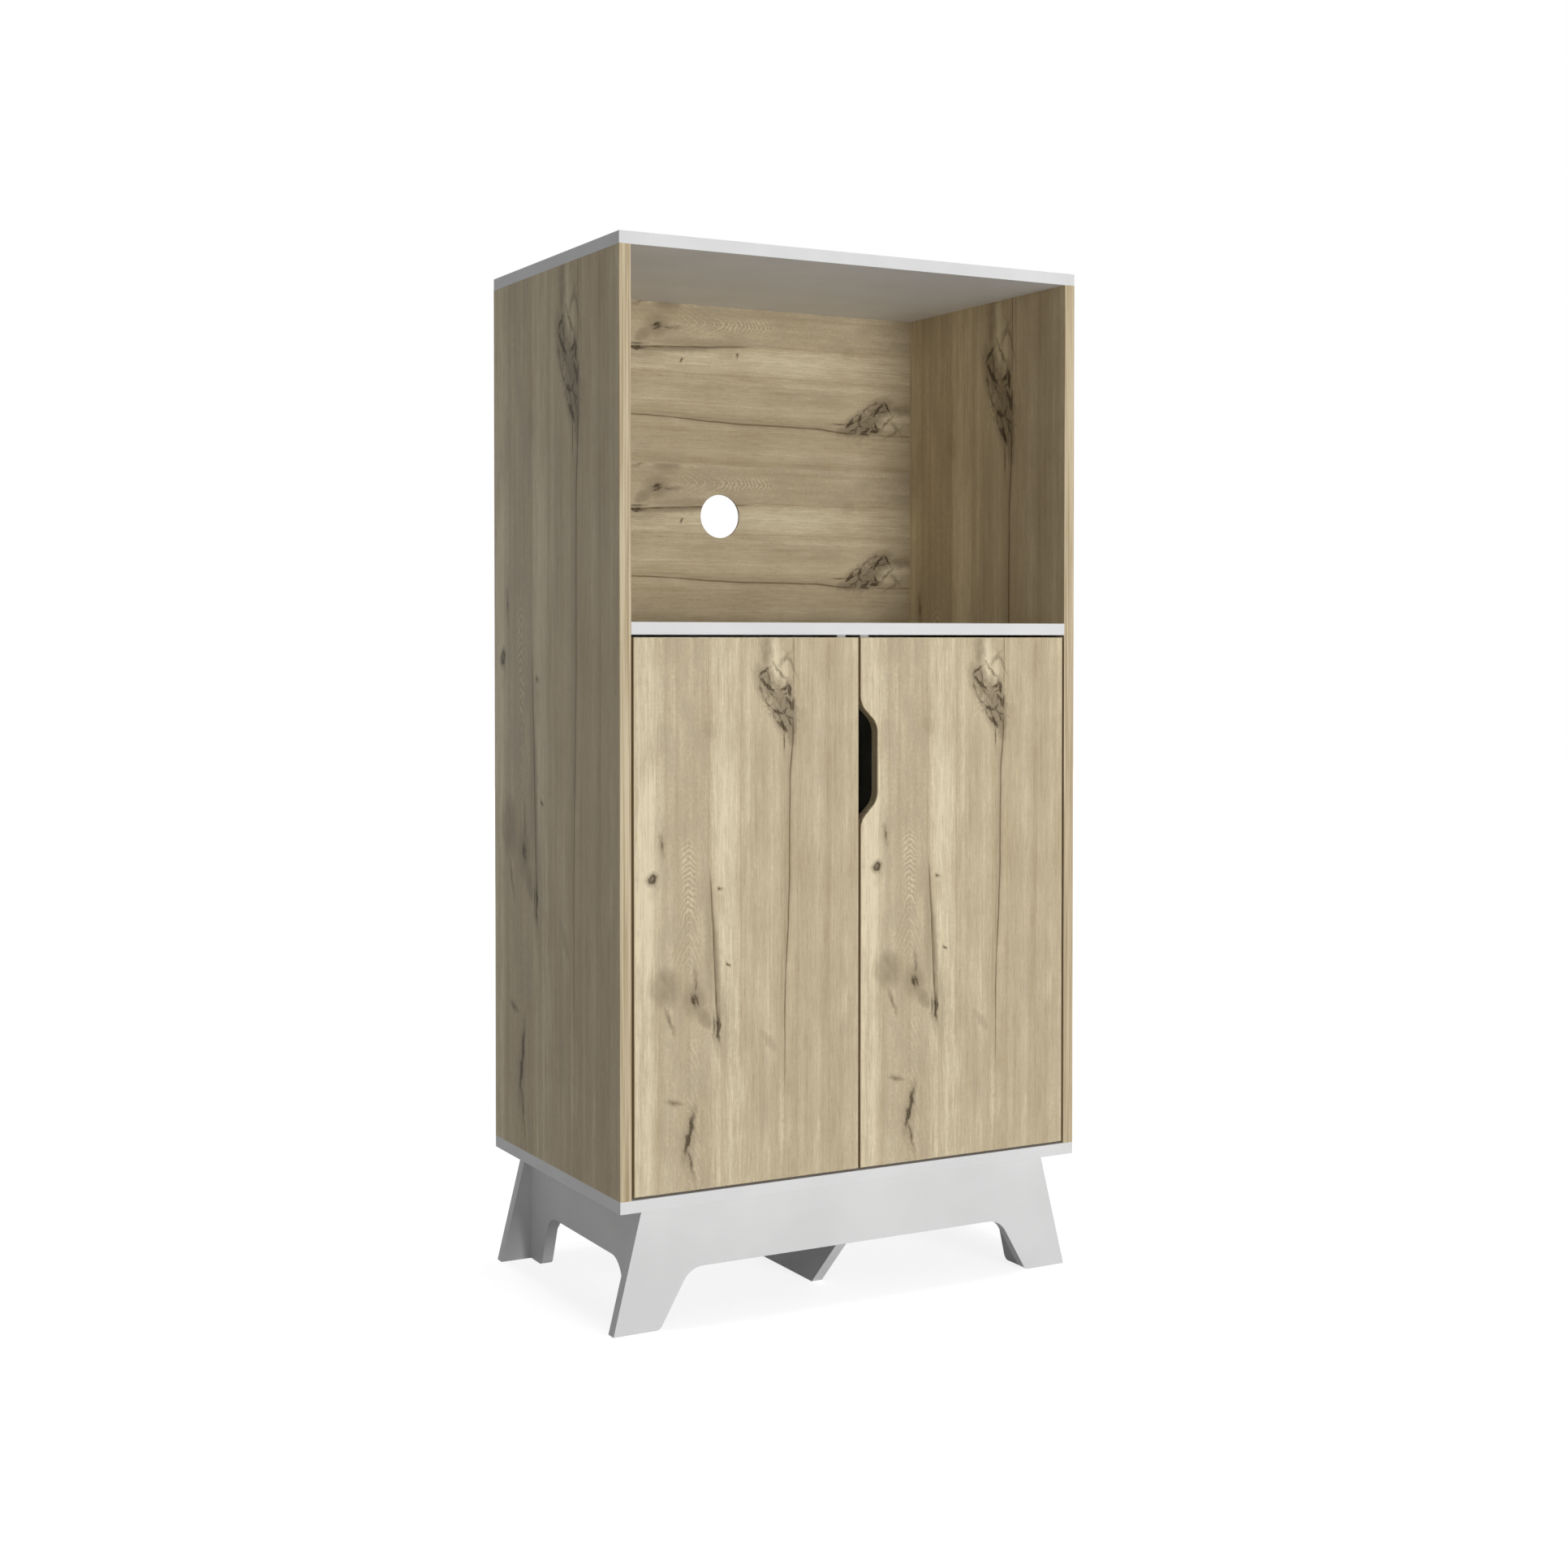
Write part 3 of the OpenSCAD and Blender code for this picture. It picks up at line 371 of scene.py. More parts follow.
def cathedral_grain(graph, place, across, along, drift):
    """Nested arches round the plank's heart, steeper and wider lower down."""
    side = across - HEART + (drift - 0.5) * 6.0
    ripple = graph.noise(place, (0.14, 0.05), seed=29.0, detail=3.0, roughness=0.6)
    steep = 0.9 + graph.smooth(along, 355.0, 305.0, 1.5)
    arch = along + ((side * side + 6.0) ** 0.5) * steep + (ripple - 0.5) * 15.0
    turns = (arch - ARCH_CHANGE).larger(0.0) / 6.8 + (arch - ARCH_CHANGE).smaller(0.0) / 14.0
    ring = abs(turns % 1.0 - 0.5) * 2.0
    thin = graph.smooth(arch, 350.0, 330.0, 0.3)
    reach = 13.0 + graph.smooth(along, 350.0, 290.0, 20.0)
    arches = graph.smooth(abs(side), reach, 3.0) * graph.smooth(abs(along - ARCH_CHANGE), 92.0, 60.0)
    lower = graph.smooth(abs(side - 7.0), 16.0, 4.0) * graph.smooth(abs(along - 90.0), 100.0, 80.0)
    ring = graph.smooth(ring - thin, 0.4, 0.75) - graph.smooth(abs(ring - thin - 0.15), 0.35, 0.0) * 0.7
    return ring * (arches + lower * 0.8)


def long_lines(graph, across, along, wander, edge):
    """The plank's split, its short upper end and the streak beside the heart, and the split's stained halo."""
    split_middle = (SPLIT + graph.smooth(along, 190.0, 400.0, 7.0) + graph.smooth(along, 490.0, 548.0, 4.5)
                    + wander)
    split = grain_line(graph, across, split_middle, 1.3 + graph.smooth(along, 150.0, 420.0, 0.7))
    split = split * graph.smooth(along, 60.0, 200.0) * graph.smooth(along, 570.0, 545.0)
    split_end = grain_line(graph, across, SPLIT_END + wander * 0.2, 1.3) * graph.smooth(along, 584.0, 610.0)
    beside = across - STREAK + along * 0.05 - wander * 0.6
    streak_width = 2.5 + graph.smooth(abs(along - 245.0), 110.0, 20.0, 7.5)
    streak = graph.smooth(beside, -1.4, 0.4)
    streak = streak * (graph.smooth(beside, streak_width, 0.4) * 0.9 + graph.smooth(beside, 2.4, 0.4) * 0.5)
    streak = streak * graph.smooth(along, 172.0, 230.0) * graph.smooth(along, 390.0, 350.0)
    line = (split * 0.95).larger(split_end * 0.7).larger(streak * 0.7) * (0.25 + edge * 1.2)
    halo = graph.smooth(abs(across - split_middle + 2.0), 9.0, 0.0) * graph.smooth(along, 120.0, 330.0)
    return line, halo * graph.smooth(along, 575.0, 548.0)


def cracks_and_knots(graph, place, jagged, edge, veins):
    """Cracks drawn on a jagged place, and the haze round them."""
    strokes = (graph.stroke(jagged, start, end, width, depth) for start, end, width, depth in CRACKS)
    knots = (graph.mound(jagged, centre, size, radians(turn), depth) for centre, size, turn, depth in KNOTS)
    mark = highest(chain(strokes, knots))
    crack = graph.smooth(mark, 0.0, 0.75) * graph.smooth(mark, 1.6, 0.9) * (0.3 + edge * 1.15)
    haze = graph.smooth(mark, -2.4, 0.4, 0.75)
    web = graph.smooth(abs(veins - 0.5), 0.035, 0.0)
    return crack.larger(web * graph.spot(place, *UPPER_KNOT, 0.4, 0.42)), haze


def oak_decor():
    """Node group with the printed plank: colour, height and roughness at a place in millimetres."""
    group = bpy.data.node_groups.new("oak_decor", "ShaderNodeTree")
    for name in ("Across", "Along"):
        group.interface.new_socket(name, in_out="INPUT", socket_type="NodeSocketFloat")
    for name, kind in (("Colour", "Color"), ("Height", "Float"), ("Roughness", "Float")):
        group.interface.new_socket(name, in_out="OUTPUT", socket_type="NodeSocket" + kind)
    graph = Graph(group)
    across, along = graph.outputs("NodeGroupInput")[:2]
    place = graph.vector(across, along, 1.0)
    look = finishes()

    # Fine structure: fibres, wider stripes and pores, all drawn out along the plank
    fibre = graph.noise(place, (0.5, 0.022), seed=3.1, detail=4.0, roughness=0.7, distortion=0.25)
    stripe = graph.noise(place, (0.13, 0.0016), seed=7.7, detail=3.0, roughness=0.6)
    cloud = graph.noise(place, (0.035, 0.012), seed=11.3, detail=4.0, roughness=0.6)
    pore = graph.smooth(graph.noise(place, (0.9, 0.05), seed=5.9, detail=3.0, roughness=0.6), 0.55, 0.68)
    thread = graph.smooth(graph.noise(place, (0.3, 0.0015), seed=23.0, detail=3.0, roughness=0.6), 0.57, 0.68)
    drift = graph.parts(graph.noise(place, (0.012, 0.005), seed=19.0, output=1))[0]

    # Broad bands across the plank, which wander a little
    bent = across + (drift - 0.5) * 30.0 - graph.smooth(along, 230.0, 470.0, 10.0) + 5.0
    band = graph.node("ShaderNodeValToRGB", stops=[(stop, (tone,) * 3 + (1.0,)) for stop, tone in BANDS],
                      Fac=bent / PLANK[0])
    band = graph.parts(band)[0]
    plain = graph.smooth(abs(across - PLAIN), 40.0, 26.0)
    curl = graph.noise(place, (0.34, 0.22), seed=61.0, detail=3.0, roughness=0.6, distortion=0.6)
    calm = graph.smooth(across, 140.0, 170.0, 0.35)
    tone = band + (fibre - 0.5) * (1.1 - plain * 0.65 - calm) + (stripe - 0.5) * 0.7 + (cloud - 0.5) * 0.6
    tone = tone + (curl - 0.5) * (0.3 + plain * 0.3)

    ring = cathedral_grain(graph, place, across, along, drift)
    wander = (graph.noise(place, (0.0, 0.011), seed=31.0) - 0.5) * 4.0
    edge = graph.noise(place, (0.55, 0.03), seed=37.0, detail=3.0, roughness=0.6)
    line, halo = long_lines(graph, across, along, wander, edge)

    # Cracks, knots, stains and clouds have jagged outlines
    jag = graph.parts(graph.noise(place, (0.13, 0.09), seed=41.0, detail=3.0, roughness=0.62, output=1))
    jag = [(part - 0.5) * 10.0 for part in jag[:2]]
    jagged = graph.vector(across + jag[0], along + jag[1], 1.0)
    veins = graph.noise(place, (0.085, 0.055), seed=43.0, detail=4.0, roughness=0.6, distortion=0.8)
    crack, haze = cracks_and_knots(graph, place, jagged, edge, veins)
    stain = (halo * 0.5).larger(haze).larger(graph.spots(jagged, STAINS)) * (cloud * 0.7 + veins * 0.8)
    mottle = graph.smooth(graph.noise(place, (0.045, 0.018), seed=53.0, detail=4.0, roughness=0.65), 0.42, 0.62)
    grey = (graph.spots(jagged, GREYS).larger(plain * 0.8) * 0.8 + 0.2) * (mottle * 0.7 + 0.3)
    pale = graph.spots(jagged, PALE)

    heart_line = grain_line(graph, across, HEART_LINE + wander, 1.1) * graph.smooth(along, 350.0, 400.0)
    brown = (thread * 0.3 + heart_line * 0.5) * (0.3 + edge)
    colour = graph.node("ShaderNodeValToRGB", Fac=tone + pale * 0.4 + ring * 0.3 - pore * 0.2,
                        stops=[(0.08, linear(look.oak_dark)), (0.5, linear(look.oak_middle)),
                               (0.92, linear(look.oak_light))])
    colour = graph.blend(brown, colour, linear(look.oak_brown))
    colour = graph.blend(grey.smaller(1.0) * 0.6, colour, linear(look.oak_grey))
    colour = graph.blend(stain.smaller(1.0), colour, linear(look.oak_smear))
    colour = graph.blend(line.smaller(1.0), colour, linear(look.oak_line))
    colour = graph.blend(crack.smaller(1.0), colour, linear(look.oak_crack))
    height = (fibre - 0.5) * 0.35 - pore * 0.5 - crack - line * 0.5
    graph.node("NodeGroupOutput", Colour=colour, Height=height, Roughness=0.46 + pore * 0.12 + (fibre - 0.5) * 0.12)
    return group


def decor_material(name, placing, shade=1.0):
    """Decor on a face: placing turns the three object coordinates in millimetres into a place on the plank."""
    material, graph, shader = new_material(name, Specular_IOR_Level=0.05)
    across, along = placing(*graph.split(millimetres(graph)))
    group = bpy.data.node_groups.get("oak_decor") or oak_decor()
    colour, height, roughness = graph.outputs("ShaderNodeGroup", {"node_tree": group}, Across=across, Along=along)
    # Painted shade: a shade below 1 darkens the decor's colour to stand in for the shade inside a recess, here the
    # niche.
    if shade < 1:
        colour = graph.blend(1.0, colour, (shade, shade * 0.99, shade * 0.97, 1.0), "MULTIPLY")
    wire(graph, shader, colour, roughness, height, 0.12 * MM)
    return material


def corner(node, high=False):
    """Lowest or highest corner of a CAD node, in millimetres."""
    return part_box(node)[1 if high else 0] / MM


def door_decor(side):
    low, high = corner("door_edging_" + side), corner("door_edging_" + side, True)
    return decor_material("oak_door_" + side, lambda x, y, z: ((x - low.x) * (PLANK[0] / (high.x - low.x)),
                                                              (z - low.z) * (PLANK[1] / (high.z - low.z))))


def side_decor():
    low, high = corner("side_edging"), corner("side_left", True)
    return decor_material("oak_side", lambda x, y, z: ((high.y - y) * (PLANK[0] / (high.y - low.y)),
                                                      (z - low.z) * (PLANK[1] / (high.z - low.z))))


def niche_decor():
    """Crosswise plank, printed twice over the niche's height, with painted shade: its colour is darkened to 0.81 of the
    boards' decor to stand in for the shade inside the niche.
    """
    inner, top = corner("fixed_shelf", True).x, corner("side_left", True).z
    repeat = (top - corner("fixed_shelf", True).z) / 2
    return decor_material("oak_niche_back", lambda x, y, z: (47.0 + (top - z) % repeat,
                                                            (x + inner) * (PLANK[1] / (2 * inner))), shade=0.81)


# ---------------------------------------------------------------- other finishes


def oak_band():
    look = finishes()
    material, graph, shader = new_material("oak_edge_band", Specular_IOR_Level=0.15)
    place = millimetres(graph)
    stripe = graph.noise(place, (0.34, 0.34, 0.004), seed=2.0, detail=2.0)
    fibre = graph.noise(place, (1.5, 1.5, 0.02), seed=8.0, detail=2.0, roughness=0.6)
    tone = graph.smooth(stripe * 0.75 + fibre * 0.25, 0.36, 0.62)
    colour = graph.blend(tone, linear(look.band_dark), linear(look.band_light))
    wire(graph, shader, colour, 0.42 + fibre * 0.12, fibre, 0.05 * MM)
    return material


def white_laminate(name="white_laminate", tone="white"):
    """White melamine: a fine stipple and a very slight unevenness."""
    material, graph, shader = new_material(name, Specular_IOR_Level=0.12)
    place = millimetres(graph)
    stipple = graph.noise(place, (1.4, 1.4, 1.4), seed=1.0, detail=2.0)
    broad = graph.noise(place, (0.01, 0.01, 0.01), seed=6.0, detail=2.0)
    base = linear(getattr(finishes(), tone))
    shade = tuple(part * 0.94 for part in base[:3]) + (1.0,)
    colour = graph.blend(graph.smooth(broad * 0.7 + stipple * 0.3, 0.66, 0.36), base, shade)
    wire(graph, shader, colour, 0.44 + (stipple - 0.5) * 0.16, stipple, 0.06 * MM)
    return material


def chipboard():
    look = finishes()
    material, graph, shader = new_material("chipboard_core", Specular_IOR_Level=0.2)
    place = millimetres(graph)
    chips = graph.node("ShaderNodeTexVoronoi", Vector=graph.stretch(place, (0.35, 0.35, 0.7)), Scale=1.0, output=1)
    chip = graph.split(chips)[0]
    dust = graph.noise(place, (1.2, 1.2, 1.2), detail=3.0)
    tone = chip * 0.7 + (dust - 0.5) * 0.8
    colour = graph.blend(graph.smooth(tone, 0.35, 0.0), linear(look.core), linear(look.core_chip))
    wire(graph, shader, colour, 0.78 + dust * 0.15, chip + dust, 0.3 * MM)
    return material


def fibreboard():
    look = finishes()
    material, graph, shader = new_material("fibreboard", Specular_IOR_Level=0.25)
    place = millimetres(graph)
    felt = graph.noise(place, (0.6, 0.6, 0.6), detail=5.0, roughness=0.7, distortion=0.6)
    cloud = graph.noise(place, (0.012, 0.012, 0.012), detail=3.0)
    dark = tuple(part * 0.72 for part in linear(look.fibre)[:3]) + (1.0,)
    colour = graph.blend(graph.smooth(felt * 0.6 + cloud * 0.4, 0.35, 0.65), dark, linear(look.fibre))
    wire(graph, shader, colour, 0.7 + felt * 0.2, felt, 0.12 * MM)
    return material


def metal(name, tone, low, high, grain=0.12, depth_mm=0.012):
    """Plated metal, its roughness between low and high in small patches."""
    material, graph, shader = new_material(name, Metallic=1.0)
    place = millimetres(graph)
    patch = graph.noise(place, (grain, grain, grain), detail=4.0, roughness=0.6)
    fine = graph.noise(place, (2.5, 2.5, 2.5), seed=4.0, detail=2.0)
    base = linear(getattr(finishes(), tone))
    dull = tuple(part * 0.9 for part in base[:3]) + (1.0,)
    colour = graph.blend(graph.smooth(patch, 0.35, 0.65), dull, base)
    wire(graph, shader, colour, low + patch * (high - low), fine, depth_mm * MM)
    return material


def dowel_wood():
    look = finishes()
    material, graph, shader = new_material("beech_dowel")
    place = millimetres(graph)
    fibre = graph.noise(place, (0.9, 0.9, 0.9), detail=3.0, distortion=1.2)
    dark = tuple(part * 0.75 for part in linear(look.beech)[:3]) + (1.0,)
    colour = graph.blend(graph.smooth(fibre, 0.3, 0.7), dark, linear(look.beech))
    wire(graph, shader, colour, 0.6 + fibre * 0.15, fibre, 0.05 * MM)
    return material


def moulded(name, tone, roughness=0.38):
    """Moulded plastic with a fine spark-eroded grain."""
    material, graph, shader = new_material(name)
    place = millimetres(graph)
    grain = graph.noise(place, (3.0, 3.0, 3.0), detail=2.0)
    base = linear(getattr(finishes(), tone))
    shade = tuple(part * 0.93 for part in base[:3]) + (1.0,)
    colour = graph.blend(graph.smooth(grain, 0.35, 0.65), shade, base)
    wire(graph, shader, colour, roughness + (grain - 0.5) * 0.15, grain, 0.03 * MM)
    return material


MAKERS = {
    "oak_door_left": lambda: door_decor("left"),
    "oak_door_right": lambda: door_decor("right"),
    "oak_side": side_decor,
    "oak_niche_back": niche_decor,
    "oak_edge_band": oak_band,
    "white_laminate": white_laminate,
    "white_edge_band": lambda: white_laminate("white_edge_band", "white_band"),
    "chipboard_core": chipboard,
    "fibreboard": fibreboard,
    "plated_steel": lambda: metal("plated_steel", "steel", 0.24, 0.5),
    "plated_nickel": lambda: metal("plated_nickel", "nickel", 0.16, 0.36),
    "cast_zinc": lambda: metal("cast_zinc", "zinc", 0.42, 0.7, grain=0.6, depth_mm=0.08),
    "beech_dowel": dowel_wood,
    "grey_plastic": lambda: moulded("grey_plastic", "grey_plastic"),
    "white_plastic": lambda: moulded("white_plastic", "white_band"),
    "magnet_ferrite": lambda: moulded("magnet_ferrite", "magnet", 0.55),
}


def finish(name):
    return bpy.data.materials.get(name) or MAKERS[name]()


# ---------------------------------------------------------------- pieces

MERGE = 0.002 * MM          # corners of the frame's loose triangles that are one
TOUCH = 0.15 * MM           # a piece this close to its neighbour is joined to it there
FLAT = radians(0.5)         # faces that meet at less than this are one
ROUND = radians(28)         # faces that meet at less than this shade as one
SHARP = radians(30)         # edges that turn by more than this are rounded


def in_scene(name, data):
    """New object that is seen in the scene."""
    thing = bpy.data.objects.new(name, data)
    bpy.context.scene.collection.objects.link(thing)
    return thing


def solid_of(node):
    """Node's triangles as one closed shape with plain flat faces."""
    shape = bmesh.new()
    shape.from_mesh(NODES[node].data)
    bmesh.ops.remove_doubles(shape, verts=shape.verts, dist=MERGE)
    bmesh.ops.dissolve_limit(shape, angle_limit=FLAT, verts=shape.verts, edges=shape.edges,
                             use_dissolve_boundaries=False)
    return shape


def surface_of(node):
    mesh = NODES[node].data
    return BVHTree.FromPolygons([point.co for point in mesh.vertices], [face.vertices for face in mesh.polygons])


def is_free(edge, neighbours):
    """True if no neighbour touches the edge's middle."""
    middle = (edge.verts[0].co + edge.verts[1].co) / 2
    return all(surface.find_nearest(middle, TOUCH)[0] is None for surface in neighbours)


def weigh_normals(mesh):
    """Shades by area: a large flat face keeps its own normal, and the rounding beside it takes that up."""
    shape = bmesh.new()
    shape.from_mesh(mesh)
    area = {face: face.calc_area() for face in shape.faces}
    normals = []
    for face in shape.faces:
        for loop in face.loops:
            fan, todo = {face}, [face]
            while todo:
                for edge in todo.pop().edges:
                    if loop.vert in edge.verts and edge.smooth:
                        fresh = [beside for beside in edge.link_faces if beside not in fan]
                        fan.update(fresh)
                        todo.extend(fresh)
            normals.append(sum((beside.normal * area[beside] for beside in fan), Vector()).normalized())
    shape.free()
    mesh.normals_split_custom_set(normals)


def eased(node, radius, main, neighbours=(), other=None, faces=None):
    """Piece that stands for a node, with its free edges rounded. Faces that pass the test get the main finish and
    the rest the other one."""
    shape = solid_of(node)
    if radius > 0:
        surfaces = [surface_of(name) for name in neighbours]
        edges = [edge for edge in shape.edges
                 if edge.is_manifold and edge.calc_face_angle() > SHARP and is_free(edge, surfaces)]
        bmesh.ops.bevel(shape, geom=edges, offset=radius, offset_type="OFFSET", segments=2, profile=0.5,
                        affect="EDGES", material=-1, clamp_overlap=True)
    if other:
        shape.normal_update()
        for face in shape.faces:
            face.material_index = 0 if faces(face) else 1
    mesh = bpy.data.meshes.new(node + "_eased")
    shape.to_mesh(mesh)
    shape.free()
    for material in (main, other):
        if material:
            mesh.materials.append(finish(material))
    mesh.shade_smooth()
    mesh.set_sharp_from_angle(angle=ROUND)
    weigh_normals(mesh)
    piece = in_scene(node + "_eased", mesh)
    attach(piece, BODY_OF[node])
    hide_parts(node)
    return piece


def coat(node, material):
    """Finish on a node that keeps its frame mesh."""
    mesh = NODES[node].data
    mesh.materials.clear()
    mesh.materials.append(finish(material))


def facing(axis, limit=0.9):
    """Test for faces square to an axis, on either side."""
    return lambda face: abs(face.normal[axis]) > limit


def to_the_front(face):
    return face.normal.y < -0.5


def not_to_the_rear(face):
    return face.normal.y < 0.5


# ---------------------------------------------------------------- operators


class CABINET_OT_carcass_boards(bpy.types.Operator):
    """White and oak boards of the carcass, with bare chipboard on the rear edges"""
    bl_idname = "cabinet.carcass_boards"
    bl_label = "Carcass boards"

    def execute(self, context):
        radius = easings().board
        for node in ("top_panel", "bottom_panel", "fixed_shelf"):
            eased(node, radius, "white_laminate", ("panel_edging", "side_left", "side_right"),
                  "chipboard_core", not_to_the_rear)
        for node in ("side_left", "side_right"):
            eased(node, radius, "oak_side", ("side_edging", "top_panel", "bottom_panel"),
                  "chipboard_core", facing(0))
        eased("inner_shelf", radius, "white_laminate")
        return {"FINISHED"}


class CABINET_OT_back_panels(bpy.types.Operator):
    """Thin back panels, finished in front and bare behind"""
    bl_idname = "cabinet.back_panels"
    bl_label = "Back panels"

    def execute(self, context):
        for node, slot, material in (("niche_back", "oak_board", "oak_niche_back"),
                                     ("lower_back", "back_board", "white_laminate")):
            eased(node, 0, material, (), "fibreboard", to_the_front)
        return {"FINISHED"}


class CABINET_OT_edge_bands(bpy.types.Operator):
    """Edge bands of the carcass"""
    bl_idname = "cabinet.edge_bands"
    bl_label = "Edge bands"

    def execute(self, context):
        eased("side_edging", easings().band, "oak_edge_band",
              ("side_left", "side_right", "panel_edging"))
        eased("panel_edging", easings().band, "white_edge_band",
              ("top_panel", "bottom_panel", "fixed_shelf", "side_edging"))
        return {"FINISHED"}


class CABINET_OT_base_boards(bpy.types.Operator):
    """Boards of the raised base"""
    bl_idname = "cabinet.base_boards"
    bl_label = "Base boards"

    def execute(self, context):
        for node in ("base_front", "base_rear", "base_side_left", "base_side_right", "base_centre"):
            eased(node, easings().board, "white_laminate")
        return {"FINISHED"}


class CABINET_OT_doors(bpy.types.Operator):
    """Door leaves and their edge bands"""
    bl_idname = "cabinet.doors"
    bl_label = "Doors"

    def execute(self, context):
        for side in ("left", "right"):
            eased("door_" + side, 0, "oak_door_" + side, (), "chipboard_core", facing(1))
            eased("door_edging_" + side, easings().band, "oak_edge_band", ("door_" + side,))
        return {"FINISHED"}


class CABINET_OT_hinges(bpy.types.Operator):
    """Hinge plates, arms, cups and pins"""
    bl_idname = "cabinet.hinges"
    bl_label = "Hinges"

    def execute(self, context):
        for node, radius in (("mounting_plates", easings().fitting), ("hinge_arms", easings().fitting),
                             ("hinge_cups_left", 0), ("hinge_cups_right", 0),
                             ("hinge_pins_left", 0), ("hinge_pins_right", 0)):
            eased(node, radius, "plated_nickel")
        return {"FINISHED"}


class CABINET_OT_catches(bpy.types.Operator):
    """Magnetic catches and the strike plates on the doors"""
    bl_idname = "cabinet.catches"
    bl_label = "Catches"

    def execute(self, context):
        eased("catch_housings", easings().fitting, "grey_plastic")
        eased("catch_magnets", easings().fitting, "magnet_ferrite")
        for side in ("left", "right"):
            eased("strike_plate_" + side, easings().fitting, "plated_steel")
        return {"FINISHED"}


class CABINET_OT_screws_and_pins(bpy.types.Operator):
    """Screws, shelf pins, brackets and cover caps"""
    bl_idname = "cabinet.screws_and_pins"
    bl_label = "Screws and pins"

    def execute(self, context):
        for node in ("carcass_screws", "back_screws", "bracket_screws", "catch_screws", "plate_screws", "arm_screws",
                     "cup_screws_left", "cup_screws_right", "strike_screw_left", "strike_screw_right"):
            eased(node, 0, "plated_steel")
        for node in ("base_brackets", "shelf_pins"):
            eased(node, easings().fitting, "plated_steel")
        eased("screw_caps", easings().fitting, "white_plastic")
        return {"FINISHED"}


class CABINET_OT_hidden_joints(bpy.types.Operator):
    """Cam fittings and dowels inside the boards"""
    bl_idname = "cabinet.hidden_joints"
    bl_label = "Hidden joints"

    def execute(self, context):
        for node in ("base_cam_locks", "shelf_cam_locks"):
            eased(node, 0, "cast_zinc")
        for node in ("base_cam_bolts", "shelf_cam_bolts"):
            coat(node, "plated_steel")
        for node in ("base_dowels", "carcass_dowels"):
            coat(node, "beech_dowel")
        return {"FINISHED"}


FLOOR_HALF = 9.0
FLOOR_TONES = (0.50, 0.52)
LIFT_REACH = (700.0, 3500.0)        # the floor is plain white to the camera beyond the second, in millimetres
# Lamps: place, edge length, what it aims at and whether it is a fill
LAMPS = {
    "key_lamp": ((0.7, -5.2, 0.8), 1.7, (0.0, 0.0, 0.7), False),
    "rear_fill": ((0.0, 4.6, 0.9), 1.6, (0.0, 0.0, 0.7), True),
    "top_fill": ((0.0, 0.0, 5.6), 1.6, (0.0, 0.0, 1.3), True),
}
CAMERA_PLACE = Vector((-1.38188, -2.53150, 0.82383))
CAMERA_TURN = (radians(90 - 1.061), 0.0, radians(-28.677))
CAMERA_SENSOR = 36.0
CAMERA_LENS = 50.297
CAMERA_SHIFT = -0.06603


def seen_directly(graph):
    """1 for what the camera, a mirror or clear glass sees."""
    path = graph.node("ShaderNodeLightPath").socket.node.outputs
    return highest(Value(graph, path[kind]) for kind in ("Is Camera Ray", "Is Glossy Ray", "Is Transmission Ray"))


def pale_floor(lift):
    """Grey to the lamps, so that it throws up little light, and nearly white to the camera."""
    material, graph, shader = new_material("pale_floor", Roughness=0.9, Specular_IOR_Level=0.0)
    place = millimetres(graph)
    dust = graph.noise(place, (0.02, 0.02, 0.02), detail=2.0)
    wire(graph, shader, graph.blend(dust, *((tone,) * 3 + (1.0,) for tone in FLOOR_TONES)))
    away = graph.node("ShaderNodeVectorMath", {"operation": "LENGTH"}, output=1, i0=place)
    lift = lift + graph.smooth(away, *LIFT_REACH, 1.0 - lift)
    glow = graph.node("ShaderNodeEmission", Color=(1.0, 1.0, 1.0, 1.0), Strength=seen_directly(graph) * lift)
    both = graph.node("ShaderNodeAddShader", i0=Value(graph, shader.outputs[0]), i1=glow)
    graph.link(both, "Material Output", "Surface")
    return material


def white_surroundings(ambient):
    """White to the camera and dimmer for the light they give."""
    world = bpy.data.worlds.new("white_surroundings")
    world.use_nodes = True
    graph = Graph(world.node_tree)
    seen = seen_directly(graph)
    graph.link(seen + (1.0 - seen) * ambient, "Background", "Strength")
    graph.tree.nodes["Background"].inputs["Color"].default_value = (1.0, 1.0, 1.0, 1.0)
    return world


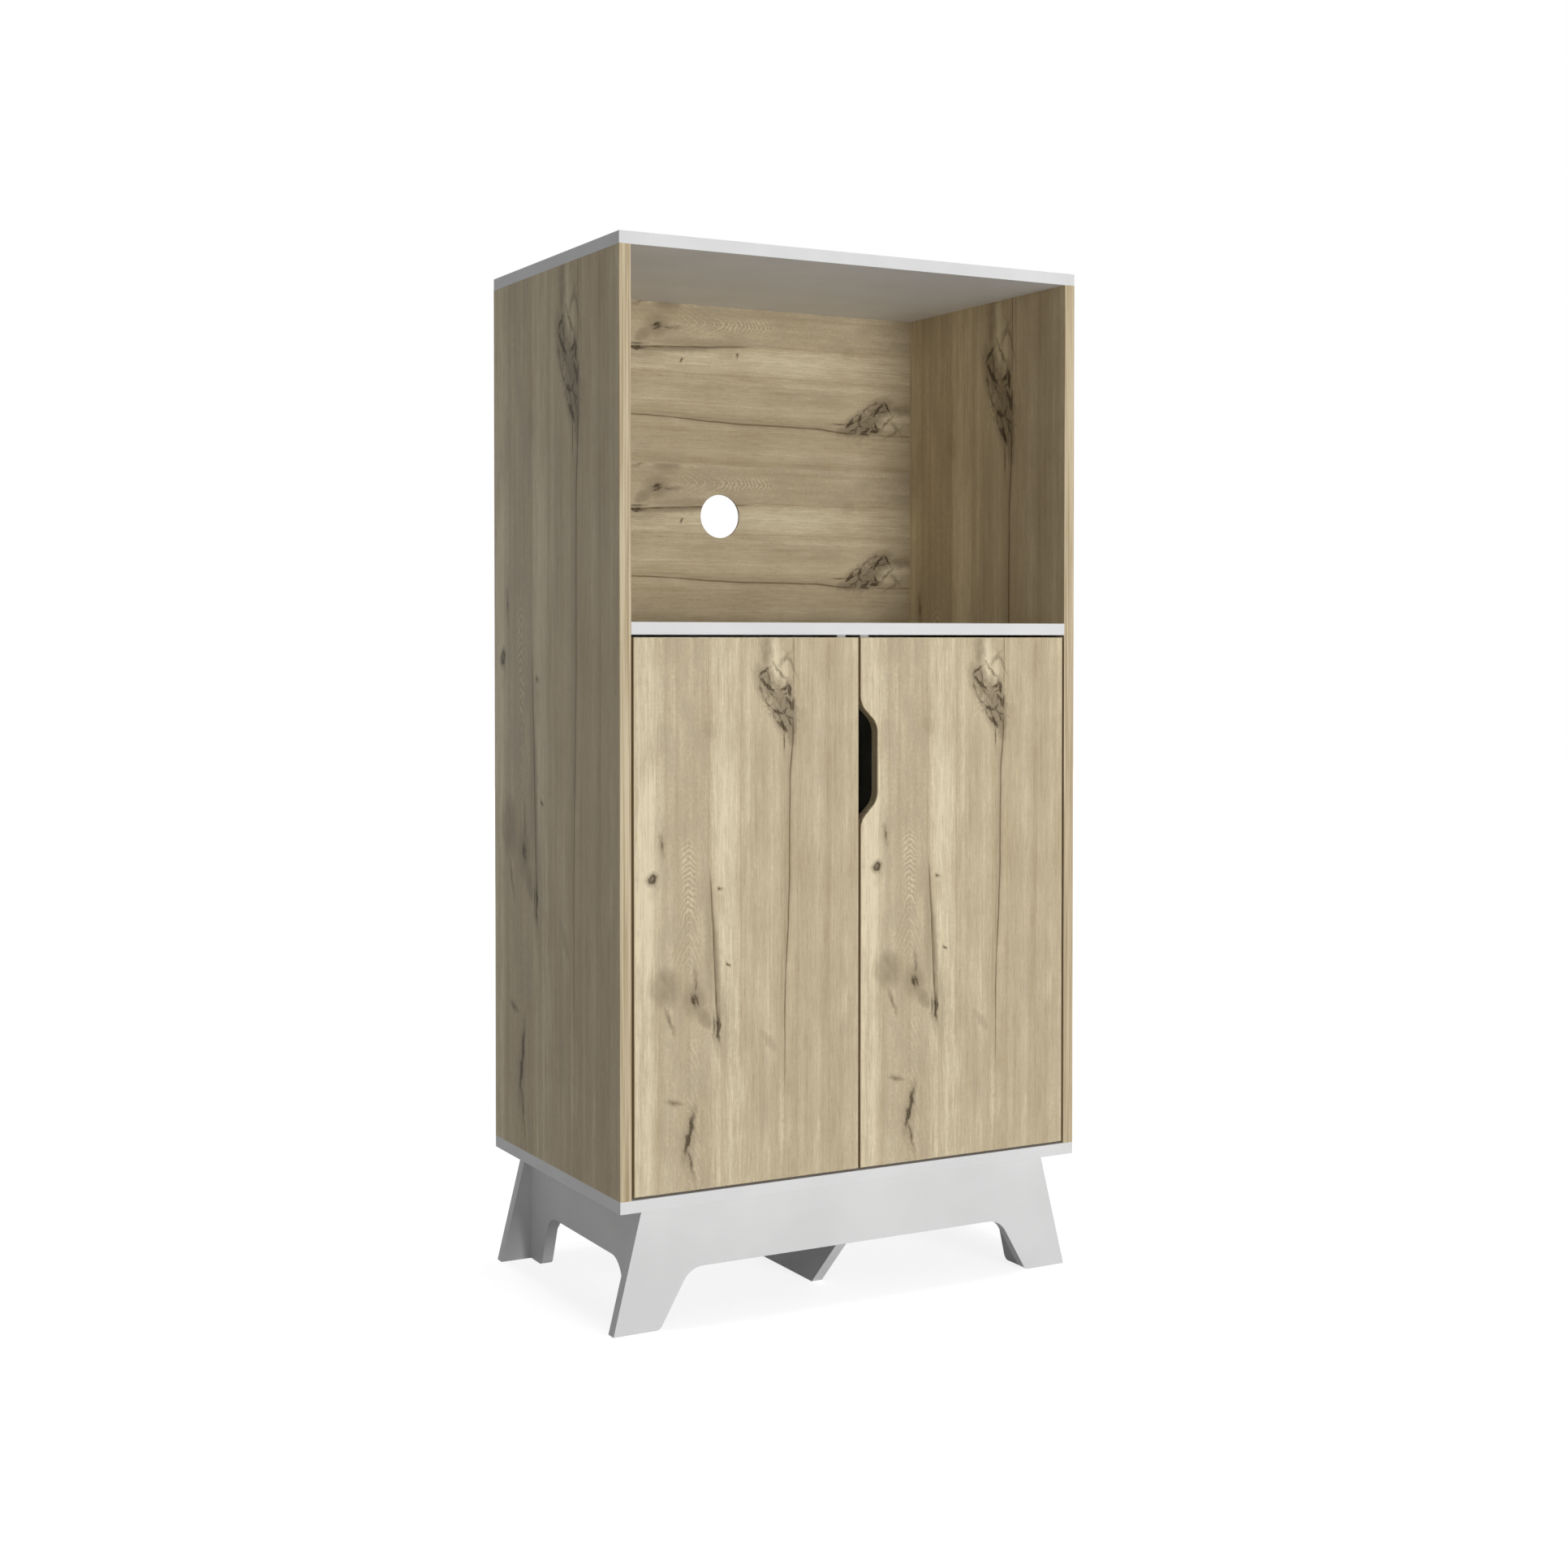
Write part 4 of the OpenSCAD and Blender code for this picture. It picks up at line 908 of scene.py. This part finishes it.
class CABINET_OT_stage(bpy.types.Operator):
    """Pale floor, white surroundings, soft lamps and camera"""
    bl_idname = "cabinet.stage"
    bl_label = "Stage"

    def execute(self, context):
        scene = context.scene
        stage = scene.cabinet_stage

        shape = bmesh.new()
        bmesh.ops.create_grid(shape, x_segments=1, y_segments=1, size=FLOOR_HALF)
        mesh = bpy.data.meshes.new("floor")
        shape.to_mesh(mesh)
        shape.free()
        mesh.materials.append(pale_floor(stage.floor_lift))
        in_scene("floor", mesh)
        scene.world = white_surroundings(stage.ambient)

        for name, (place, edge, aim, is_fill) in LAMPS.items():
            lamp = bpy.data.lights.new(name, "AREA")
            lamp.shape, lamp.size = "SQUARE", edge
            lamp.energy = stage.fill_power if is_fill else stage.key_power
            holder = in_scene(name, lamp)
            holder.location = place
            holder.rotation_euler = (Vector(aim) - Vector(place)).to_track_quat("-Z", "Y").to_euler()

        lens = bpy.data.cameras.new("camera")
        lens.sensor_fit, lens.sensor_width = "HORIZONTAL", CAMERA_SENSOR
        lens.lens, lens.shift_y = CAMERA_LENS, CAMERA_SHIFT
        camera = in_scene("camera", lens)
        camera.location, camera.rotation_euler = CAMERA_PLACE, CAMERA_TURN
        scene.camera = camera
        scene.view_settings.view_transform = "Standard"
        return {"FINISHED"}


OPERATORS = (CABINET_OT_stage, CABINET_OT_carcass_boards, CABINET_OT_back_panels, CABINET_OT_edge_bands,
             CABINET_OT_base_boards, CABINET_OT_doors, CABINET_OT_hinges, CABINET_OT_catches,
             CABINET_OT_screws_and_pins, CABINET_OT_hidden_joints)
GROUPS = {"cabinet_finishes": CabinetFinishes, "cabinet_easing": CabinetEasing, "cabinet_stage": CabinetStage}


class CABINET_PT_sidebar(bpy.types.Panel):
    """Settings and steps of the cabinet"""
    bl_label = "Microwave cabinet"
    bl_idname = "CABINET_PT_sidebar"
    bl_space_type = "VIEW_3D"
    bl_region_type = "UI"
    bl_category = "Cabinet"

    def draw(self, context):
        for name, group in GROUPS.items():
            box = self.layout.box()
            for setting in group.__annotations__:
                box.prop(getattr(context.scene, name), setting)
        for operator in OPERATORS:
            self.layout.operator(operator.bl_idname)


CLASSES = (*GROUPS.values(), *OPERATORS, CABINET_PT_sidebar)


def register():
    for item in CLASSES:
        bpy.utils.register_class(item)
    for name, group in GROUPS.items():
        setattr(bpy.types.Scene, name, PointerProperty(type=group))


def unregister():
    for name in GROUPS:
        delattr(bpy.types.Scene, name)
    for item in reversed(CLASSES):
        bpy.utils.unregister_class(item)


def main():
    register()
    for operator in OPERATORS:
        getattr(bpy.ops.cabinet, operator.bl_idname.split(".")[1])()
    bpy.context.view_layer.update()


if __name__ == "__main__":
    main()
